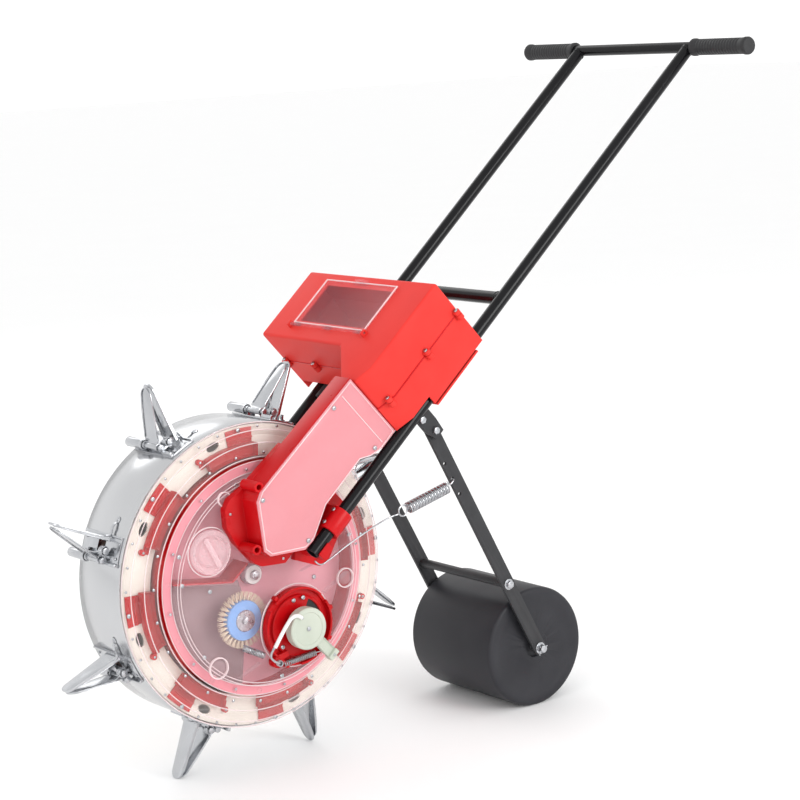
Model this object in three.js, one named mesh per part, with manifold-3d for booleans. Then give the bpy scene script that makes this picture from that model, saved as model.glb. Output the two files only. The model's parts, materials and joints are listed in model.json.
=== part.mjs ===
// Push seeder: a steel drum with hinged seed openers, a metering chamber, a slanted hopper,
// a two-tube handle and a trailing press roller.
// Millimetres, +Z up. The machine is pushed towards -X, and its near (left) side is -Y.
import * as THREE from 'three';
import { mergeVertices } from 'three/addons/utils/BufferGeometryUtils.js';
import Module from 'manifold-3d';

const wasm = await Module();
wasm.setup();

// ---- driving dimensions ----
const GAP = 0.4; // running or fitting gap between touching pieces
const RING_STEPS = 40; // facets round the drum
const ROUND_STEPS = 20; // facets round a shaft or a knob

const DRUM_R = 225; // outside radius of the steel band
const BAND_T = 2;
const BAND_NEAR = -36;
const BAND_FAR = 76;
const AXLE_R = 10;

const BEAK_COUNT = 8;
const BEAK_FIRST_DEG = 67.5; // angle of opener 1, from +X towards +Z
const BEAK_TIP_R = 318; // radius that the opener tips run on
const BEAK_Y = 20; // middle of the openers across the band
const BEAK_HALF = 18; // half width of an opener at its root
const BEAK_TIP_HALF = 12.5;
const SHEET_T = 1.6; // steel sheet of the openers
const PIVOT_X = 233; // hinge of an opener's flap, from the drum axle outwards
const PIVOT_Z = 34; // and round the drum, on the leading side
const FLAP_LENGTH = 86;
const FLAP_TIP_HALF = 13;

const HANDLE_DEG = 41; // slope of the handle tubes
const TUBE_Y = 128; // handle tubes stand at +-TUBE_Y
const TUBE_R = 10;
const TUBE_WALL = 1.6;
const TUBE_START = 57; // along the slope, from the drum axle
const BAR_AT = 1097;
const BAR_R = 9;
const BAR_WALL = 1.5;
const CROSS_AT = 554;
const HANDLE_HALF = 260; // half the width over the grips
const GRIP_R = 14;
const GRIP_START = 139;

const HOPPER_TOP = 121; // above the tube line
const HOPPER_SEAM = 60;
const HOPPER_FLOOR = 11;
const HOPPER_SKIRT = -5;
const HOPPER_WALL = 3;

const CHUTE_FRONT = -130; // near face of the chute's clear window
const CHUTE_BACK = -92;
const WINDOW_T = 2.7;
const COVER_FACE = -77.3; // near face of the clear chamber cover

const CHAMBER_R = 171;
const METER_X = 41.5;
const METER_Z = -76.5;
const BRUSH_X = -34.5;
const BRUSH_Z = -58;
const FILLER_X = -98.6;
const FILLER_Z = 58.2;

const PIVOT_T = 334; // where the roller arms swing: along the tubes
const PIVOT_N = -52; // and below them
const ROLLER_R = 95;
const ROLLER_HALF = 98;
const ROLLER_X = 481;
const ARM_Y = 107;
const ARM_T = 5;
const ARM_HALF = 11.5;
const ARM_HOLES = [59, 87, 116]; // spring holes, from the pivot
const ARM_HOLE_EDGE = -6; // spring holes stand towards the front edge

const GROUND_Z = -BEAK_TIP_R * Math.cos(Math.PI / BEAK_COUNT);
const ROLLER_Z = GROUND_Z + ROLLER_R;

// ---- finishes ----
const STEEL = { color: 0xc4c6c8, roughness: 0.22, metalness: 1 };
const ZINC = { color: 0xb4b8bc, roughness: 0.35, metalness: 1 };
const BLACK = { color: 0x141416, roughness: 0.3, metalness: 0.2 };
const ARM_GREY = { color: 0x3a3a3c, roughness: 0.45, metalness: 0.3 };
const GRIP_RUBBER = { color: 0x222224, roughness: 0.7, metalness: 0 };
const RED = { color: 0xd8141c, roughness: 0.35, metalness: 0 };
const HOPPER_RED = { color: 0xe93a34, roughness: 0.45, metalness: 0 };
const CREAM = { color: 0xefe6d8, roughness: 0.5, metalness: 0 };
const CLEAR = { color: 0xf3dde0, roughness: 0.12, metalness: 0, transparent: true, opacity: 0.35 };
const PALE = { color: 0xdde3d5, roughness: 0.4, metalness: 0 };
const BRUSH = { color: 0xd9c6a0, roughness: 0.8, metalness: 0 };
const ROLLER_GREY = { color: 0x2e2e30, roughness: 0.6, metalness: 0 };

const rad = THREE.MathUtils.degToRad;
const polar = (radius, degrees) => [radius * Math.cos(rad(degrees)), radius * Math.sin(rad(degrees))];
const slopePoint = (t, n) => ({
  x: t * Math.cos(rad(HANDLE_DEG)) - n * Math.sin(rad(HANDLE_DEG)),
  z: t * Math.sin(rad(HANDLE_DEG)) + n * Math.cos(rad(HANDLE_DEG)),
});
const PIVOT = slopePoint(PIVOT_T, PIVOT_N);

// ---- joining and cutting ----
function solidOf(geometry) {
  const bare = geometry.clone();
  bare.deleteAttribute('normal');
  bare.deleteAttribute('uv');
  const merged = mergeVertices(bare, 1e-4);
  const vertProperties = new Float32Array(merged.attributes.position.array);
  const triVerts = new Uint32Array(merged.index.array);
  return new wasm.Manifold(new wasm.Mesh({ numProp: 3, vertProperties, triVerts }));
}

function geometryOf(solid) {
  const mesh = solid.getMesh();
  const geometry = new THREE.BufferGeometry();
  geometry.setAttribute('position', new THREE.BufferAttribute(mesh.vertProperties, 3));
  geometry.setIndex(new THREE.BufferAttribute(mesh.triVerts, 1));
  geometry.computeVertexNormals();
  return geometry;
}

function join(...pieces) {
  const [first, ...others] = pieces.map(solidOf);
  return geometryOf(others.reduce((whole, piece) => whole.add(piece), first));
}

function cut(body, ...tools) {
  return geometryOf(tools.map(solidOf).reduce((whole, tool) => whole.subtract(tool), solidOf(body)));
}

function common(a, b) {
  return geometryOf(solidOf(a).intersect(solidOf(b)));
}

// ---- basic shapes ----
function block(x0, x1, y0, y1, z0, z1) {
  const box = new THREE.BoxGeometry(x1 - x0, y1 - y0, z1 - z0);
  return box.translate((x0 + x1) / 2, (y0 + y1) / 2, (z0 + z1) / 2);
}

// a round bar along Y
function rod(radius, y0, y1, x = 0, z = 0, steps = ROUND_STEPS) {
  return new THREE.CylinderGeometry(radius, radius, y1 - y0, steps).translate(x, (y0 + y1) / 2, z);
}

// a round bar along X
function longRod(radius, x0, x1, y = 0, z = 0, steps = ROUND_STEPS) {
  const bar = new THREE.CylinderGeometry(radius, radius, x1 - x0, steps);
  return bar.rotateZ(-Math.PI / 2).translate((x0 + x1) / 2, y, z);
}

// a body of revolution about Y; the profile is a list of [radius, y]
function turned(profile, x = 0, z = 0, steps = RING_STEPS) {
  const points = profile.map(([radius, y]) => new THREE.Vector2(radius, y));
  const closed = points[0].x === 0 ? points : [...points, points[0].clone()];
  if (THREE.ShapeUtils.area(points) < 0) closed.reverse();
  return new THREE.LatheGeometry(closed, steps).translate(x, 0, z);
}

const shapeOf = (points) => new THREE.Shape(points.map(([x, y]) => new THREE.Vector2(x, y)));

// a flat piece whose outline lies in the XZ plane, from y0 to y1
function plate(outline, y0, y1, curveSegments = 12) {
  const shape = Array.isArray(outline) ? shapeOf(outline) : outline;
  const geometry = new THREE.ExtrudeGeometry(shape, { depth: y1 - y0, bevelEnabled: false, curveSegments });
  return geometry.rotateX(Math.PI / 2).translate(0, y1, 0);
}

// a flat piece whose outline lies in the XY plane, from z0 to z1
function slab(outline, z0, z1) {
  const geometry = new THREE.ExtrudeGeometry(shapeOf(outline), { depth: z1 - z0, bevelEnabled: false });
  return geometry.translate(0, 0, z0);
}

// part of a flat ring about Y, between two radii and two angles in degrees
function sector(r0, r1, from, to, y0, y1) {
  const shape = new THREE.Shape();
  shape.absarc(0, 0, r1, rad(from), rad(to), false);
  shape.absarc(0, 0, r0, rad(to), rad(from), true);
  return plate(shape, y0, y1, 2);
}

// a bar with two round ends, from x = 0 - before to x = length + after
function roundBar(half, length, y0, y1) {
  const shape = new THREE.Shape();
  shape.absarc(0, 0, half, rad(90), rad(270), false);
  shape.absarc(length, 0, half, rad(-90), rad(90), false);
  return plate(shape, y0, y1, 5);
}

// the outline moved inwards by a distance; corners stay sharp
function inset(points, distance) {
  const turn = Math.sign(THREE.ShapeUtils.area(shapeOf(points).getPoints()));
  const count = points.length;
  return points.map((corner, i) => {
    const before = points[(i + count - 1) % count];
    const after = points[(i + 1) % count];
    const a = new THREE.Vector2(corner[0] - before[0], corner[1] - before[1]).normalize();
    const b = new THREE.Vector2(after[0] - corner[0], after[1] - corner[1]).normalize();
    const normal = new THREE.Vector2(-a.y - b.y, a.x + b.x).normalize();
    const reach = (turn * distance) / new THREE.Vector2(-a.y, a.x).dot(normal);
    return [corner[0] + normal.x * reach, corner[1] + normal.y * reach];
  });
}

// a wire along a smooth path of [x, y, z] points
function wire(points, radius, steps) {
  const path = new THREE.CatmullRomCurve3(points.map((p) => new THREE.Vector3(...p)), false, 'centripetal');
  const section = new THREE.Shape();
  section.absarc(0, 0, radius, 0, 2 * Math.PI, false);
  return new THREE.ExtrudeGeometry(section, { steps, extrudePath: path, curveSegments: 3 });
}

function add(group, name, geometry, finish) {
  const mesh = new THREE.Mesh(geometry, new THREE.MeshStandardMaterial(finish));
  mesh.name = name;
  group.add(mesh);
}

// ---- drum ----
const beakAngles = Array.from({ length: BEAK_COUNT }, (_, i) => BEAK_FIRST_DEG + (i * 360) / BEAK_COUNT);

function drumBand() {
  const inner = DRUM_R - BAND_T;
  const band = turned([[inner, BAND_NEAR], [DRUM_R, BAND_NEAR], [DRUM_R, BAND_FAR], [inner, BAND_FAR]]);
  const seedHoles = beakAngles.map((angle) =>
    block(inner - 5, DRUM_R + 5, BEAK_Y - 10, BEAK_Y + 10, 5, 22).rotateY(-rad(angle)));
  return cut(band, ...seedHoles);
}

function ringWindow() {
  return turned([
    [225, -36.4], [225, -41], [214, -50], [196, -57], [180, -60.2], [174.5, -60.2],
    [174.5, -57.8], [180, -57.8], [195, -54.7], [212.4, -48], [222.6, -39.8], [222.6, -36.4],
  ]);
}

function drumSidePlate() {
  const rim = DRUM_R - BAND_T - GAP;
  const bore = AXLE_R + GAP;
  return turned([[bore, 58], [28, 58], [28, 71], [rim, 71], [rim, 75], [28, 75], [28, 92], [bore, 92]]);
}

const CUP_BOLT_R = 199; // bolt circle of the seed cups
const CUP_HOLE_R = 206;

function seedRing() {
  const ring = turned([[176, -39.4], [221.8, -39.4], [221.8, -36.6], [176, -36.6]]);
  const drops = beakAngles.map((angle) => {
    const drop = rod(6.5, -41, -35, 0, 0, 12).scale(1, 1, 1.7).translate(CUP_HOLE_R, 0, 0);
    return drop.rotateY(-rad(angle - 6.5));
  });
  return cut(ring, ...drops);
}

function seedCup() {
  const [boltX, boltZ] = polar(CUP_BOLT_R, 2.5);
  const sheet = sector(194, 219, -25, -13, -42, -39.8);
  const scoop = sector(177.5, 197, -26, 0, -53, -39.8);
  const arm = sector(186, 197, -1, 3, -42, -39.8);
  const boss = rod(4.5, -47, -39.8, boltX, boltZ, 8);
  const pocket = sector(179.5, 195, -25, -1, -54, -42);
  return cut(join(sheet, scoop, arm, boss), pocket);
}

// ---- openers, in a frame with +X out along the spoke and +Z on the leading side ----
const FLAP_SLOPE = Math.atan2(5.5 - PIVOT_Z, BEAK_TIP_R - PIVOT_X);
const BLADE_RIM = 5; // height of the folded edges of the fixed blade, at its root
const PLATE_X = DRUM_R + GAP; // underside of the opener's foot, which is rolled to the band

// outline across the opener: straight sides that draw in to a round tip
function tongue(fromX, toX, rootHalf, tipHalf) {
  const shape = new THREE.Shape();
  shape.moveTo(fromX, -rootHalf);
  shape.lineTo(toX - tipHalf, -tipHalf);
  shape.absarc(toX - tipHalf, 0, tipHalf, rad(-90), rad(90), false);
  shape.lineTo(fromX, rootHalf);
  return shape;
}

function tongueSlab(shape, z0, z1) {
  const settings = { depth: z1 - z0, bevelEnabled: false, curveSegments: 4 };
  const geometry = new THREE.ExtrudeGeometry(shape, settings);
  return geometry.translate(0, BEAK_Y, z0);
}

function beakFixed() {
  const floor = PLATE_X + 2;
  const wedge = plate([[floor - 1, 0], [BEAK_TIP_R, 0], [316.6, 3.4], [floor - 1, BLADE_RIM]], -10, 50);
  const hollow = plate([[200, SHEET_T], [312, SHEET_T], [312, 12], [200, 60]], -10, 50);
  const outside = common(wedge, tongueSlab(tongue(floor - 2, BEAK_TIP_R, BEAK_HALF, BEAK_TIP_HALF), -5, 60));
  const insideWidth = tongue(floor - 2, BEAK_TIP_R - 2, BEAK_HALF - SHEET_T, BEAK_TIP_HALF - SHEET_T);
  const inside = common(hollow, tongueSlab(insideWidth, -5, 60));
  const foot = sector(PLATE_X, floor, -1.2, 9.8, -30, 70);
  const ears = [BEAK_Y - BEAK_HALF, BEAK_Y + BEAK_HALF - SHEET_T].map((y) =>
    join(rod(6, y, y + SHEET_T, PIVOT_X, PIVOT_Z, 8), block(DRUM_R, 237, y, y + SHEET_T, 20, PIVOT_Z)));
  const pinHole = rod(3.3 + GAP, -20, 70, PIVOT_X, PIVOT_Z, 8);
  const seedHole = block(PLATE_X - 5, floor + 1, BEAK_Y - 10, BEAK_Y + 10, 3, 22);
  return cut(join(cut(outside, inside), foot, ...ears), pinHole, seedHole);
}

function beakFlap() {
  const blade = tongueSlab(tongue(9, FLAP_LENGTH, BEAK_HALF, FLAP_TIP_HALF), -SHEET_T, 0);
  const root = block(0, 10, BEAK_Y - 15, BEAK_Y + 15, -SHEET_T, 0);
  const leaf = join(blade, root).rotateY(-FLAP_SLOPE).translate(PIVOT_X, 0, PIVOT_Z);
  const pin = rod(3, -3, 45, PIVOT_X, PIVOT_Z, 8);
  const knuckle = rod(4.6, BEAK_Y - 15.5, BEAK_Y + 15.5, PIVOT_X, PIVOT_Z, 8);
  const leverBarrel = rod(7.4, 43, 84, PIVOT_X, PIVOT_Z, 12);
  return join(leaf, pin, knuckle, leverBarrel);
}

// ---- metering chamber ----
function seedChamber() {
  const bore = AXLE_R + GAP;
  const shell = turned([
    [bore, -24], [168, -24], [168, -62], [CHAMBER_R, -62], [CHAMBER_R, -21], [bore, -21],
  ]);
  const shelf = plate([[-150, 15], [-50, 0.5], [-22, 24], [-24, 26], [-51, 3.2], [-150, 17.8]], -60, -23);
  const shaftHoles = [[BRUSH_X, BRUSH_Z], [METER_X, METER_Z]].map(([x, z]) => rod(4.4, -30, -15, x, z));
  const outlet = sector(160, 176, -72, -52, -56, -38);
  return cut(join(shell, shelf), ...shaftHoles, outlet);
}

const chuteMouth = [[28, 64], [60, 106], [90, 102], [90, 50], [58, 34]];
const sloped = (geometry) => geometry.rotateY(-rad(HANDLE_DEG));

function chamberCover() {
  const lid = turned([
    [0, COVER_FACE], [150, COVER_FACE], [151, -79.5], [155, -79.5], [157, -77.5], [157.5, -64.8],
    [172.5, -64.8], [172.5, -62.4], [155, -62.4], [154.4, -75], [0, -75],
  ]);
  const mouth = sloped(plate(chuteMouth, -85, -70));
  return cut(lid, rod(49, -85, -70, METER_X, METER_Z, 48), rod(24, -85, -70, FILLER_X, FILLER_Z, 32), mouth);
}

function mainAxle() {
  return turned([
    [0, -44], [8, -44], [8, -37.5], [15, -37.5], [15, -24.4], [AXLE_R, -24.4], [AXLE_R, 112], [0, 112],
  ], 0, 0, ROUND_STEPS);
}

function brushWheel() {
  return turned([
    [0, -68], [4, -68], [4, -64], [17, -64], [17, -60.5], [29, -60.5], [42, -58], [42, -50],
    [4, -48], [4, -12], [0, -12],
  ], BRUSH_X, BRUSH_Z, 32);
}

const METER_POCKETS = 12;

function meterWheel() {
  const wheel = turned(
    [[0, -72], [5, -72], [5, -62], [35, -62], [35, -46], [4, -46], [4, -12], [0, -12]], 0, 0, 36);
  const pockets = Array.from({ length: METER_POCKETS }, (_, i) =>
    rod(4, -64, -44, ...polar(35, (i * 360) / METER_POCKETS), 8));
  return cut(wheel, ...pockets).translate(METER_X, 0, METER_Z);
}

const LATCH_X = -2; // pivot of the wire latch, on a lug of the metering dish
const LATCH_Z = -122;

function meterHousing() {
  const dish = turned([
    [0, -104], [12, -104], [12, -81], [54.5, -81], [54.5, -90], [58, -90], [58, -77.8], [48, -77.8],
    [48, -65], [44, -65], [44, -75.5], [0, -75.5],
  ], METER_X, METER_Z, 36);
  return join(dish, rod(8, -92, -77.8, LATCH_X, LATCH_Z, 16));
}

function meterCap() {
  const cap = turned([
    [0, -112], [30, -112], [31, -111], [31, -97], [28, -97], [28, -108], [16, -108], [16, -97],
    [12 + GAP, -97], [12 + GAP, -107.5], [0, -107.5],
  ], 0, 0, 28);
  const lever = block(29, 68, -110, -100, -8, 8).rotateY(rad(48));
  return join(cap, lever).translate(METER_X, 0, METER_Z);
}

function meterLatch() {
  return wire([
    [LATCH_X, -92.6, LATCH_Z], [LATCH_X, -96, LATCH_Z], [-14, -98.5, -115], [-20, -101, -106],
    [-12, -107, -88], [2, -113.6, -63], [10, -114.6, -54], [20, -114.8, -52], [30, -114.8, -58],
  ], 1.8, 18);
}

function fillerCap() {
  const cap = turned([
    [0, -86.5], [29, -86.5], [32, -84], [32, -77.8], [22.5, -77.8],
    [22.5, -70], [19, -70], [19, -84], [0, -84],
  ], 0, 0, 28);
  const grip = block(-26, 26, -91, -86, -4, 4).rotateY(rad(64));
  return join(cap, grip).translate(FILLER_X, 0, FILLER_Z);
}

// ---- chute, hopper and handle, in a frame with +X up the slope of the handle tubes ----
const chuteOutline = [
  [280.4, 129], [62, 134], [48, 128], [6, 68], [8, 54], [53, 13.5], [72, 11.5], [121, 31], [210, 31],
  [226, 19], [246, 12], [280.4, 12],
];
const chuteFoot = [
  [-4, 90], [2, 118], [18, 138], [35, 143], [66, 136], [150, 130], [150, 60], [110, 32.5], [50, 3.8],
  [30, 3.8], [1, 32], [-4, 44],
];

function feedChute() {
  const box = plate(chuteOutline, CHUTE_FRONT + WINDOW_T + 0.3, CHUTE_BACK);
  const foot = plate(chuteFoot, CHUTE_BACK - 1, -80);
  const inside = plate(inset(chuteOutline, 4), CHUTE_FRONT, CHUTE_BACK - 3);
  const mouth = plate(chuteMouth, CHUTE_FRONT, -70);
  const inlet = block(270, 290, CHUTE_FRONT + 6, CHUTE_BACK - 5, 18, 122);
  return cut(join(box, foot), inside, mouth, inlet);
}

function chuteWindow() {
  return plate(inset(chuteOutline, 1), CHUTE_FRONT, CHUTE_FRONT + WINDOW_T);
}

const hopperPlan = [[476, -145], [476, 172], [342, 172], [342, -35], [281, -95], [281, -130], [309, -145]];
const tubeBores = () => [-TUBE_Y, TUBE_Y].map((y) => longRod(TUBE_R + GAP, 250, 600, y, 0));
const hopperInlet = () => block(270, 290, CHUTE_FRONT + 6, CHUTE_BACK - 5, 18, 115);

function hopperBase() {
  const tub = slab(hopperPlan, HOPPER_FLOOR, HOPPER_SEAM - 0.2);
  const inside = slab(inset(hopperPlan, HOPPER_WALL), HOPPER_FLOOR + HOPPER_WALL, HOPPER_SEAM + 1);
  const nearSkirt = block(350, 476, -145, -142, HOPPER_SKIRT, HOPPER_FLOOR + 1);
  const farSkirt = block(342, 476, 169, 172, HOPPER_SKIRT, HOPPER_FLOOR + 1);
  const saddles = [360, 452].map((t) => block(t, t + 6, -144, 171, 0, HOPPER_FLOOR + 1));
  return cut(join(tub, nearSkirt, farSkirt, ...saddles), inside, hopperInlet(), ...tubeBores());
}

const DOOR_HINGE = { t: 366, n: 125.4 };
const DOOR_NEAR = -71;
const DOOR_FAR = 108;

function hopperTop() {
  const shell = slab(hopperPlan, HOPPER_SEAM + 0.2, HOPPER_TOP);
  const inside = slab(inset(hopperPlan, HOPPER_WALL), HOPPER_SEAM - 1, HOPPER_TOP - HOPPER_WALL);
  const doorHole = block(376, 452, DOOR_NEAR + 6, DOOR_FAR - 6, HOPPER_TOP - 10, HOPPER_TOP + 5);
  const ears = [DOOR_NEAR - 6.5, DOOR_FAR + 2.5].map((y) =>
    block(DOOR_HINGE.t - 5, DOOR_HINGE.t + 5, y, y + 4, HOPPER_TOP - 1, DOOR_HINGE.n + 4));
  const pinHole = rod(2 + GAP, DOOR_NEAR - 10, DOOR_FAR + 10, DOOR_HINGE.t, DOOR_HINGE.n, 12);
  return cut(join(shell, ...ears), inside, doorHole, hopperInlet(), pinHole);
}

function hopperDoor() {
  const pane = block(370, 460, DOOR_NEAR, DOOR_FAR, HOPPER_TOP + GAP, HOPPER_TOP + 3);
  const knuckle = rod(3.4, DOOR_NEAR, DOOR_FAR, DOOR_HINGE.t, DOOR_HINGE.n, 12);
  const web = block(366, 371, DOOR_NEAR, DOOR_FAR, DOOR_HINGE.n - 3, DOOR_HINGE.n - 1.2);
  const pin = rod(2, DOOR_NEAR - 6, DOOR_FAR + 6, DOOR_HINGE.t, DOOR_HINGE.n, 12);
  const tab = block(455, 466, 3, 39, HOPPER_TOP + GAP, HOPPER_TOP + 5);
  return join(pane, knuckle, web, pin, tab);
}

function handleTube(y) {
  const tube = longRod(TUBE_R, TUBE_START, BAR_AT - 3, y, 0, 20);
  const bore = longRod(TUBE_R - TUBE_WALL, TUBE_START - 5, BAR_AT + 20, y, 0, 20);
  return cut(tube, bore, rod(BAR_R + GAP, y - 20, y + 20, BAR_AT, 0, 20));
}

function crossBar() {
  const bar = rod(TUBE_R, -TUBE_Y + 2, TUBE_Y - 2, CROSS_AT, 0, 20);
  const bore = rod(TUBE_R - TUBE_WALL, -TUBE_Y, TUBE_Y, CROSS_AT, 0, 20);
  const copes = [-TUBE_Y, TUBE_Y].map((y) => longRod(TUBE_R + GAP, CROSS_AT - 30, CROSS_AT + 30, y, 0, 20));
  return cut(bar, bore, ...copes);
}

function handleBar() {
  const end = HANDLE_HALF - 3;
  return cut(rod(BAR_R, -end, end, BAR_AT, 0, 20), rod(BAR_R - BAR_WALL, -end - 5, end + 5, BAR_AT, 0, 20));
}

function grip(side) {
  const profile = [
    [BAR_R + GAP, GRIP_START], [GRIP_R, GRIP_START], [GRIP_R, GRIP_START + 5], [GRIP_R - 1.4, GRIP_START + 8],
    [GRIP_R - 1, HANDLE_HALF - 12], [GRIP_R, HANDLE_HALF - 9], [GRIP_R - 1, HANDLE_HALF],
    [0, HANDLE_HALF], [0, HANDLE_HALF - 2.5], [BAR_R + GAP, HANDLE_HALF - 2.5],
  ].map(([radius, y]) => [radius, side * y]);
  const start = profile.findIndex(([radius]) => radius === 0) + 1;
  return turned([...profile.slice(start), ...profile.slice(0, start)], BAR_AT, 0, 20);
}

const clampPad = [[44, -8], [56, 2.5], [112, 29.5], [160, 29.5], [160, -30], [84, -55], [66, -50]];
const clampBore = (y) => longRod(TUBE_R + GAP, 20, 200, y, 0);

function tubeClampLeft() {
  const pad = plate(clampPad, -90, -80.2);
  const collar = longRod(16, 97, 134, -TUBE_Y, 0);
  const riser = block(97, 134, -TUBE_Y, -89, -15, 15);
  const seat = block(60, 82, -TUBE_Y - 12, -89, -16, -3);
  return cut(join(pad, collar, riser, seat), clampBore(-TUBE_Y));
}

const CARRIER_Y = 96;

function tubeClampRight() {
  const collar = longRod(16, 97, 134, TUBE_Y, 0);
  const riser = block(97, 134, CARRIER_Y + 4 + GAP, TUBE_Y, -15, 15);
  const seat = block(60, 82, CARRIER_Y + 4 + GAP, TUBE_Y + 12, -16, -3);
  const spine = block(60, 134, CARRIER_Y + 4 + GAP, CARRIER_Y + 12, -16, -3);
  return cut(join(collar, riser, seat, spine), clampBore(TUBE_Y));
}

function rightCarrier() {
  const shape = new THREE.Shape();
  shape.absarc(0, 0, 26, rad(90), rad(270), false);
  shape.lineTo(150, -20);
  shape.lineTo(150, 20);
  return cut(plate(shape, CARRIER_Y, CARRIER_Y + 4), rod(AXLE_R + GAP, 90, 110));
}

function armBracket(side) {
  const [inner, outer] = [side * 112, side * (TUBE_Y - TUBE_R - GAP)].sort((a, b) => a - b);
  const web = plate([[320, 8], [348, 8], [348, -40], [345, -64], [326, -64], [320, -40]], inner, outer);
  const [pinStart, pinEnd] = [side * 101, side * 114].sort((a, b) => a - b);
  return join(web, rod(5, pinStart, pinEnd, PIVOT_T, PIVOT_N));
}

function hopperClampPlate() {
  return block(354, 461, -141, 141, -14, -TUBE_R - GAP);
}

// ---- press roller, in a frame with the arm pivot at its origin and +X down the arm ----
const armLength = Math.hypot(ROLLER_X - PIVOT.x, ROLLER_Z - PIVOT.z);
const armAngle = Math.atan2(ROLLER_Z - PIVOT.z, ROLLER_X - PIVOT.x);
const TIE_AT = 297;

function rollerArm(side) {
  const [y0, y1] = [side * (ARM_Y - ARM_T / 2), side * (ARM_Y + ARM_T / 2)].sort((a, b) => a - b);
  const bar = join(roundBar(ARM_HALF, armLength, y0, y1), block(-16, 0, y0, y1, -ARM_HALF, ARM_HALF));
  const holes = ARM_HOLES.map((s) => rod(3, y0 - 5, y1 + 5, s, ARM_HOLE_EDGE, 8));
  const pivotHole = rod(5 + GAP, y0 - 5, y1 + 5);
  const axleHole = rod(6 + GAP, y0 - 5, y1 + 5, armLength, 0);
  return cut(bar, ...holes, pivotHole, axleHole);
}

const armTieBar = () => rod(7, -ARM_Y + ARM_T / 2 + GAP, ARM_Y - ARM_T / 2 - GAP, TIE_AT, 0, 16);
const rollerAxle = () => rod(6, -120, 120, armLength, 0);

function pressRoller() {
  return turned([
    [6 + GAP, -ROLLER_HALF], [ROLLER_R - 4, -ROLLER_HALF], [ROLLER_R, -ROLLER_HALF + 4],
    [ROLLER_R, ROLLER_HALF - 4], [ROLLER_R - 4, ROLLER_HALF], [6 + GAP, ROLLER_HALF],
  ], ROLLER_X, ROLLER_Z, 48);
}

// the spring from the middle hole of the left arm, with the wire that hooks on the tube's foot
function tensionSpring() {
  const along = [Math.cos(armAngle), Math.sin(armAngle)];
  const hole = [
    PIVOT.x + ARM_HOLES[1] * along[0] - ARM_HOLE_EDGE * along[1],
    PIVOT.z + ARM_HOLES[1] * along[1] + ARM_HOLE_EDGE * along[0],
  ];
  const hook = wire([
    [hole[0], -102, hole[1]], [hole[0], -110, hole[1]], [hole[0] - 4, -117, hole[1] - 1],
    [hole[0] - 16, -118, hole[1] - 4], [285, -118, 87], [240, -118, 75], [205, -119, 68], [150, -122, 52],
    [100, -125, 34], [70, -127, 22], [56, -128, 19], [47, -128, 26],
  ], 1.4, 30);
  const coil = new THREE.CylinderGeometry(9.5, 9.5, 76, 16);
  const slope = Math.atan2(14, 72);
  return join(hook, coil.rotateZ(-Math.PI / 2).rotateY(-slope).translate(265, -118, 81.8));
}

// ---- assembly ----
function buildDrum() {
  const drum = new THREE.Group();
  add(drum, 'drum_band', drumBand(), STEEL);
  add(drum, 'ring_window', ringWindow(), CLEAR);
  add(drum, 'drum_side_plate', drumSidePlate(), CREAM);
  add(drum, 'seed_ring', seedRing(), CREAM);
  const [cup, fixed, flap] = [seedCup(), beakFixed(), beakFlap()];
  beakAngles.forEach((angle, i) => {
    const spoke = new THREE.Group();
    spoke.rotation.y = -rad(angle);
    add(spoke, `seed_cup_${i + 1}`, cup, RED);
    add(spoke, `beak_fixed_${i + 1}`, fixed, STEEL);
    add(spoke, `beak_flap_${i + 1}`, flap, STEEL);
    drum.add(spoke);
  });
  return drum;
}

function buildMeter() {
  const meter = new THREE.Group();
  add(meter, 'seed_chamber', seedChamber(), RED);
  add(meter, 'chamber_cover', chamberCover(), CLEAR);
  add(meter, 'main_axle', mainAxle(), ZINC);
  add(meter, 'brush_wheel', brushWheel(), BRUSH);
  add(meter, 'meter_wheel', meterWheel(), PALE);
  add(meter, 'meter_housing', meterHousing(), RED);
  add(meter, 'meter_cap', meterCap(), PALE);
  add(meter, 'meter_latch', meterLatch(), ZINC);
  add(meter, 'filler_cap', fillerCap(), CLEAR);
  return meter;
}

function buildSlope() {
  const slope = new THREE.Group();
  slope.rotation.y = -rad(HANDLE_DEG);
  add(slope, 'feed_chute', feedChute(), RED);
  add(slope, 'chute_window', chuteWindow(), CLEAR);
  add(slope, 'hopper_base', hopperBase(), HOPPER_RED);
  add(slope, 'hopper_top', hopperTop(), HOPPER_RED);
  add(slope, 'hopper_door', hopperDoor(), CLEAR);
  add(slope, 'hopper_clamp_plate', hopperClampPlate(), HOPPER_RED);
  add(slope, 'handle_tube_left', handleTube(-TUBE_Y), BLACK);
  add(slope, 'handle_tube_right', handleTube(TUBE_Y), BLACK);
  add(slope, 'handle_cross_bar', crossBar(), BLACK);
  add(slope, 'handle_bar', handleBar(), BLACK);
  add(slope, 'grip_left', grip(-1), GRIP_RUBBER);
  add(slope, 'grip_right', grip(1), GRIP_RUBBER);
  add(slope, 'tube_clamp_left', tubeClampLeft(), RED);
  add(slope, 'tube_clamp_right', tubeClampRight(), RED);
  add(slope, 'right_carrier', rightCarrier(), ARM_GREY);
  add(slope, 'arm_bracket_left', armBracket(-1), ARM_GREY);
  add(slope, 'arm_bracket_right', armBracket(1), ARM_GREY);
  return slope;
}

function buildRoller() {
  const press = new THREE.Group();
  const arms = new THREE.Group();
  arms.position.set(PIVOT.x, 0, PIVOT.z);
  arms.rotation.y = -armAngle;
  add(arms, 'arm_left', rollerArm(-1), ARM_GREY);
  add(arms, 'arm_right', rollerArm(1), ARM_GREY);
  add(arms, 'arm_tie_bar', armTieBar(), ARM_GREY);
  add(arms, 'roller_axle', rollerAxle(), ZINC);
  press.add(arms);
  add(press, 'press_roller', pressRoller(), ROLLER_GREY);
  add(press, 'tension_spring', tensionSpring(), ZINC);
  return press;
}

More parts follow.
